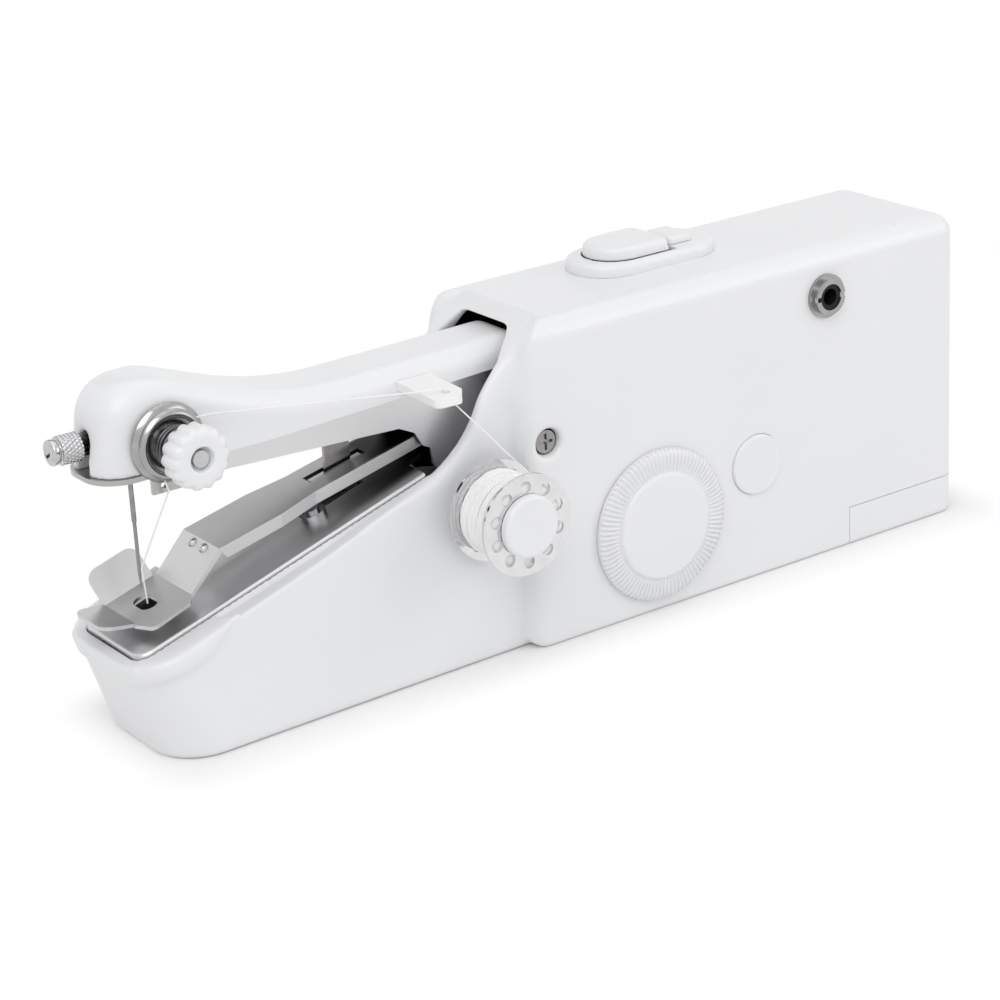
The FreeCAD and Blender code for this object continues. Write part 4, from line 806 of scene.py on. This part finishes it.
FRONT_DISC = [(-10.72, 6.5), (-10.78, 6.75), (-10.95, 6.8), (-11.2, 6.66), (-11.7, 6.16), (-11.8, 5.95),
              (-11.75, 5.7), (-11.5, 5.55), (-11.15, 5.4), (-11.1, 5.1), (-11.1, 1.66), (-10.72, 1.66)]
REAR_DISC = [(-9.0, 7.2), (-9.05, 7.5), (-9.25, 7.6), (-9.5, 7.45), (-10.18, 6.55), (-10.3, 6.2),
             (-10.3, 1.66), (-9.95, 1.66), (-9.95, 6.1), (-9.3, 6.9)]
piece("front_disc", *ring_turned(FRONT_DISC, 96), DISC_STEEL, "arm", "bright_steel", "tension_disc_outer")
piece("rear_disc", *ring_turned(REAR_DISC, 96), DISC_STEEL, "arm", "bright_steel", "tension_disc_inner")

CLAMP_Z = 61.4
KNURLS, KNURL_DEPTH = 11, 0.34


def diamond(along, radius, angle):
    """Crossed knurling on the thick part of the clamp screw."""
    if not (-102.4 < along < -98.3 and radius > 2.6):
        return 0.0
    lead = (along + 100.4) * 2.2
    one = abs(math.sin(KNURLS * angle + lead))
    two = abs(math.sin(KNURLS * angle - lead))
    return -KNURL_DEPTH * (1.0 - min(one, two) ** 0.6)


def screw_profile():
    """The clamp screw from its tip to its dished end."""
    steps = [(-88.4, 0.2), (-88.4, 1.35), (-88.7, 1.5), (-96.3, 1.5), (-96.4, 2.2), (-98.2, 2.2), (-98.3, 2.5)]
    steps += [(-98.35 - 4.0 * i / 36, 2.8) for i in range(37)]
    steps += [(-102.4, 2.5), (-102.45, 2.1), (-102.75, 2.1), (-102.8, 2.3), (-102.95, 2.45), (-103.9, 2.5)]
    steps += [(-104.12, 2.4), (-104.2, 2.2), (-104.2, 1.85), (-104.1, 1.68), (-103.7, 1.2), (-103.45, 0.7)]
    steps += [(-103.42, 0.1)]
    return steps


piece(
    "knurled_screw",
    *turned("X", (0.0, CLAMP_Z), screw_profile(), 132, diamond),
    NICKEL, "clamp", "bright_steel", "clamp_screw",
)

FLUTES, FLUTE_DEPTH, FLUTE_ROOT = 14, 0.52, 4.2


def flutes(along, radius, angle):
    """Rounded lobes round the rim of the knob."""
    if radius < FLUTE_ROOT:
        return 0.0
    wave = 0.5 + 0.5 * math.cos(FLUTES * angle)
    share = min((radius - FLUTE_ROOT) / 1.4, 1.0)
    return -FLUTE_DEPTH * share * (1.0 - wave**0.6)


KNOB = [(-17.0, 1.66), (-17.0, 5.3), (-17.15, 5.75), (-17.5, 6.0), (-20.9, 6.0), (-21.5, 5.85), (-21.9, 5.5),
        (-22.15, 4.9), (-22.2, 4.2), (-22.2, 2.75), (-22.1, 2.5), (-21.8, 2.35), (-20.6, 2.3), (-20.6, 1.66)]
piece("fluted_knob", *ring_turned(KNOB, 192, flutes), WHITE_PIECE, "knob", "white_small", "tension_knob")

WHEEL_X, WHEEL_Z = 20.9, 19.2
RIBS, RIB_DEPTH, RIB_ROOT = 90, 0.48, 11.9


def ribbed_wheel():
    """A thumb wheel: fine radial ribs on the sloping rim round a plain disc."""
    around = RIBS * 6
    profile = [(-18.1, 2.5), (-18.1, 15.9), (-18.3, 16.2), (-19.0, 16.2), (-19.35, 16.1), (-19.75, 15.6),
               (-20.05, 14.9), (-20.15, 13.6), (-20.1, 12.2), (-19.9, 11.65), (-19.85, 11.45), (-20.2, 11.3),
               (-20.45, 11.15), (-20.58, 10.8), (-20.6, 10.3), (-20.6, 2.5)]
    verts = []
    for along, radius in profile:
        for j in range(around):
            angle = TURN * j / around
            depth = 0.0
            if RIB_ROOT < radius < 16.15 and along < -18.5:
                depth = RIB_DEPTH * min(max(0.5 - 0.9 * math.cos(RIBS * angle), 0.0), 1.0)
                depth *= min((radius - RIB_ROOT) / 0.5, 1.0)
            verts.append((WHEEL_X + radius * math.cos(angle), along + depth, WHEEL_Z + radius * math.sin(angle)))
    return verts, rings_to_faces(len(profile), around)


piece("ribbed_wheel", *ribbed_wheel(), WHITE_PIECE, "drive", "white_small", "handwheel")


# --------------------------------------------------------------------- stage


# The machine's footprint on the floor: its middle along x and its half sizes, in metres.
PRINT_X, PRINT_LONG, PRINT_WIDE = 0.0085, 0.0955, 0.0155


def flat_board(name, wide, high):
    """A flat rectangle, centred on its own origin."""
    mesh = bpy.data.meshes.new(name)
    mesh.from_pydata([(-wide, -high, 0), (wide, -high, 0), (wide, high, 0), (-wide, high, 0)], [], [(0, 1, 2, 3)])
    made = bpy.data.objects.new(name, mesh)
    bpy.context.scene.collection.objects.link(made)
    return made


def studio_floor():
    """A pale floor that keeps the shadow near the machine and is white further off."""
    floor = flat_board("floor", 3.0, 3.0)
    finish = Finish("pale_floor", specular_ior_level=0.0, roughness=0.9)
    x, y, _ = finish.axes()
    beside_x, beside_y = (abs(x - PRINT_X) - PRINT_LONG).least(0.0), (abs(y) - PRINT_WIDE).least(0.0)
    away = (beside_x * beside_x + beside_y * beside_y).root().over(0.0075, 0.015)
    finish.colour(finish.mix(finish.noise(40.0, 2.0), rgb(0.90, 0.90, 0.90), rgb(0.91, 0.91, 0.91)))
    glow = finish.node("ShaderNodeEmission", None, {"Color": rgb(1, 1, 1), "Strength": 1.0})
    white = (0.05 + 0.95 * away) * finish.seen()
    both = finish.node("ShaderNodeMixShader", None, {0: white, 1: finish.surface(), 2: glow})
    finish.put(finish.out.inputs[0], both)
    floor.data.materials.append(finish.material)


def studio_world(level):
    """White to the eye and in reflections, and an even soft light."""
    world = bpy.data.worlds.new("studio")
    bpy.context.scene.world = world
    world.use_nodes = True
    sky = ShaderTree(world.node_tree)
    strength = sky.node("ShaderNodeMapRange", None, {0: sky.seen(), 3: level, 4: 1.0})
    back = sky.node("ShaderNodeBackground", None, {"Color": rgb(1, 1, 1), "Strength": strength})
    sky.node("ShaderNodeOutputWorld", None, {0: back}, None)


def facing(holder, place, target):
    """Put an object at a place, facing a target."""
    holder.location = place
    holder.rotation_euler = (Vector(target) - Vector(place)).to_track_quat("-Z", "Y").to_euler()


def soft_lamp(name, place, target, size, power):
    """A broad lamp with soft shadows."""
    lamp = bpy.data.lights.new(name, "AREA")
    lamp.shape = "RECTANGLE"
    lamp.size, lamp.size_y = size
    lamp.energy = power
    holder = bpy.data.objects.new(name, lamp)
    facing(holder, place, target)
    bpy.context.scene.collection.objects.link(holder)


def dark_card(name, place, target, size):
    """A dark board that only shows in reflections, for contrast on the metal."""
    card = flat_board(name, size[0] / 2, size[1] / 2)
    card.data.materials.append(BLACK)
    facing(card, place, target)
    card.visible_camera = card.visible_diffuse = card.visible_shadow = False
    card.visible_transmission = card.visible_volume_scatter = False


def photo_camera():
    """The photograph's view: azimuth, elevation and roll round the machine."""
    azimuth, elevation, roll = math.radians(-34.52), math.radians(20.90), math.radians(-3.17)
    level = math.cos(elevation)
    back = Vector((math.sin(azimuth) * level, -math.cos(azimuth) * level, math.sin(elevation)))
    right = (-back).cross(Vector((0, 0, 1))).normalized()
    up = right.cross(-back)
    across = right * math.cos(roll) + up * math.sin(roll)
    upward = up * math.cos(roll) - right * math.sin(roll)
    camera = bpy.data.cameras.new("photo_camera")
    camera.sensor_width = 36.0
    camera.lens = 100.8
    camera.clip_start = 0.01
    holder = bpy.data.objects.new("photo_camera", camera)
    spin = Matrix((across, upward, back)).transposed().to_4x4()
    holder.matrix_world = Matrix.Translation((-0.3080, -0.4392, 0.2299)) @ spin
    bpy.context.scene.collection.objects.link(holder)
    bpy.context.scene.camera = holder


studio_floor()
studio_world(0.62)
soft_lamp("key_left", (-0.55, -0.55, 0.85), (0, 0, 0.03), (0.7, 0.7), 3.8)
soft_lamp("top", (0.1, 0.1, 1.0), (0, 0, 0.03), (0.9, 0.9), 1.2)
soft_lamp("fill_right", (0.7, -0.6, 0.4), (0, 0, 0.03), (0.6, 0.6), 1.5)
dark_card("card_behind", (0.22, 0.66, 0.52), (0, 0, 0.04), (0.7, 0.16))
dark_card("card_left", (-0.8, 0.12, 0.22), (0, 0, 0.05), (0.22, 0.5))
dark_card("card_front", (0.25, -0.8, 0.12), (0, 0, 0.05), (0.5, 0.12))
photo_camera()
bpy.context.scene.view_settings.view_transform = "Standard"
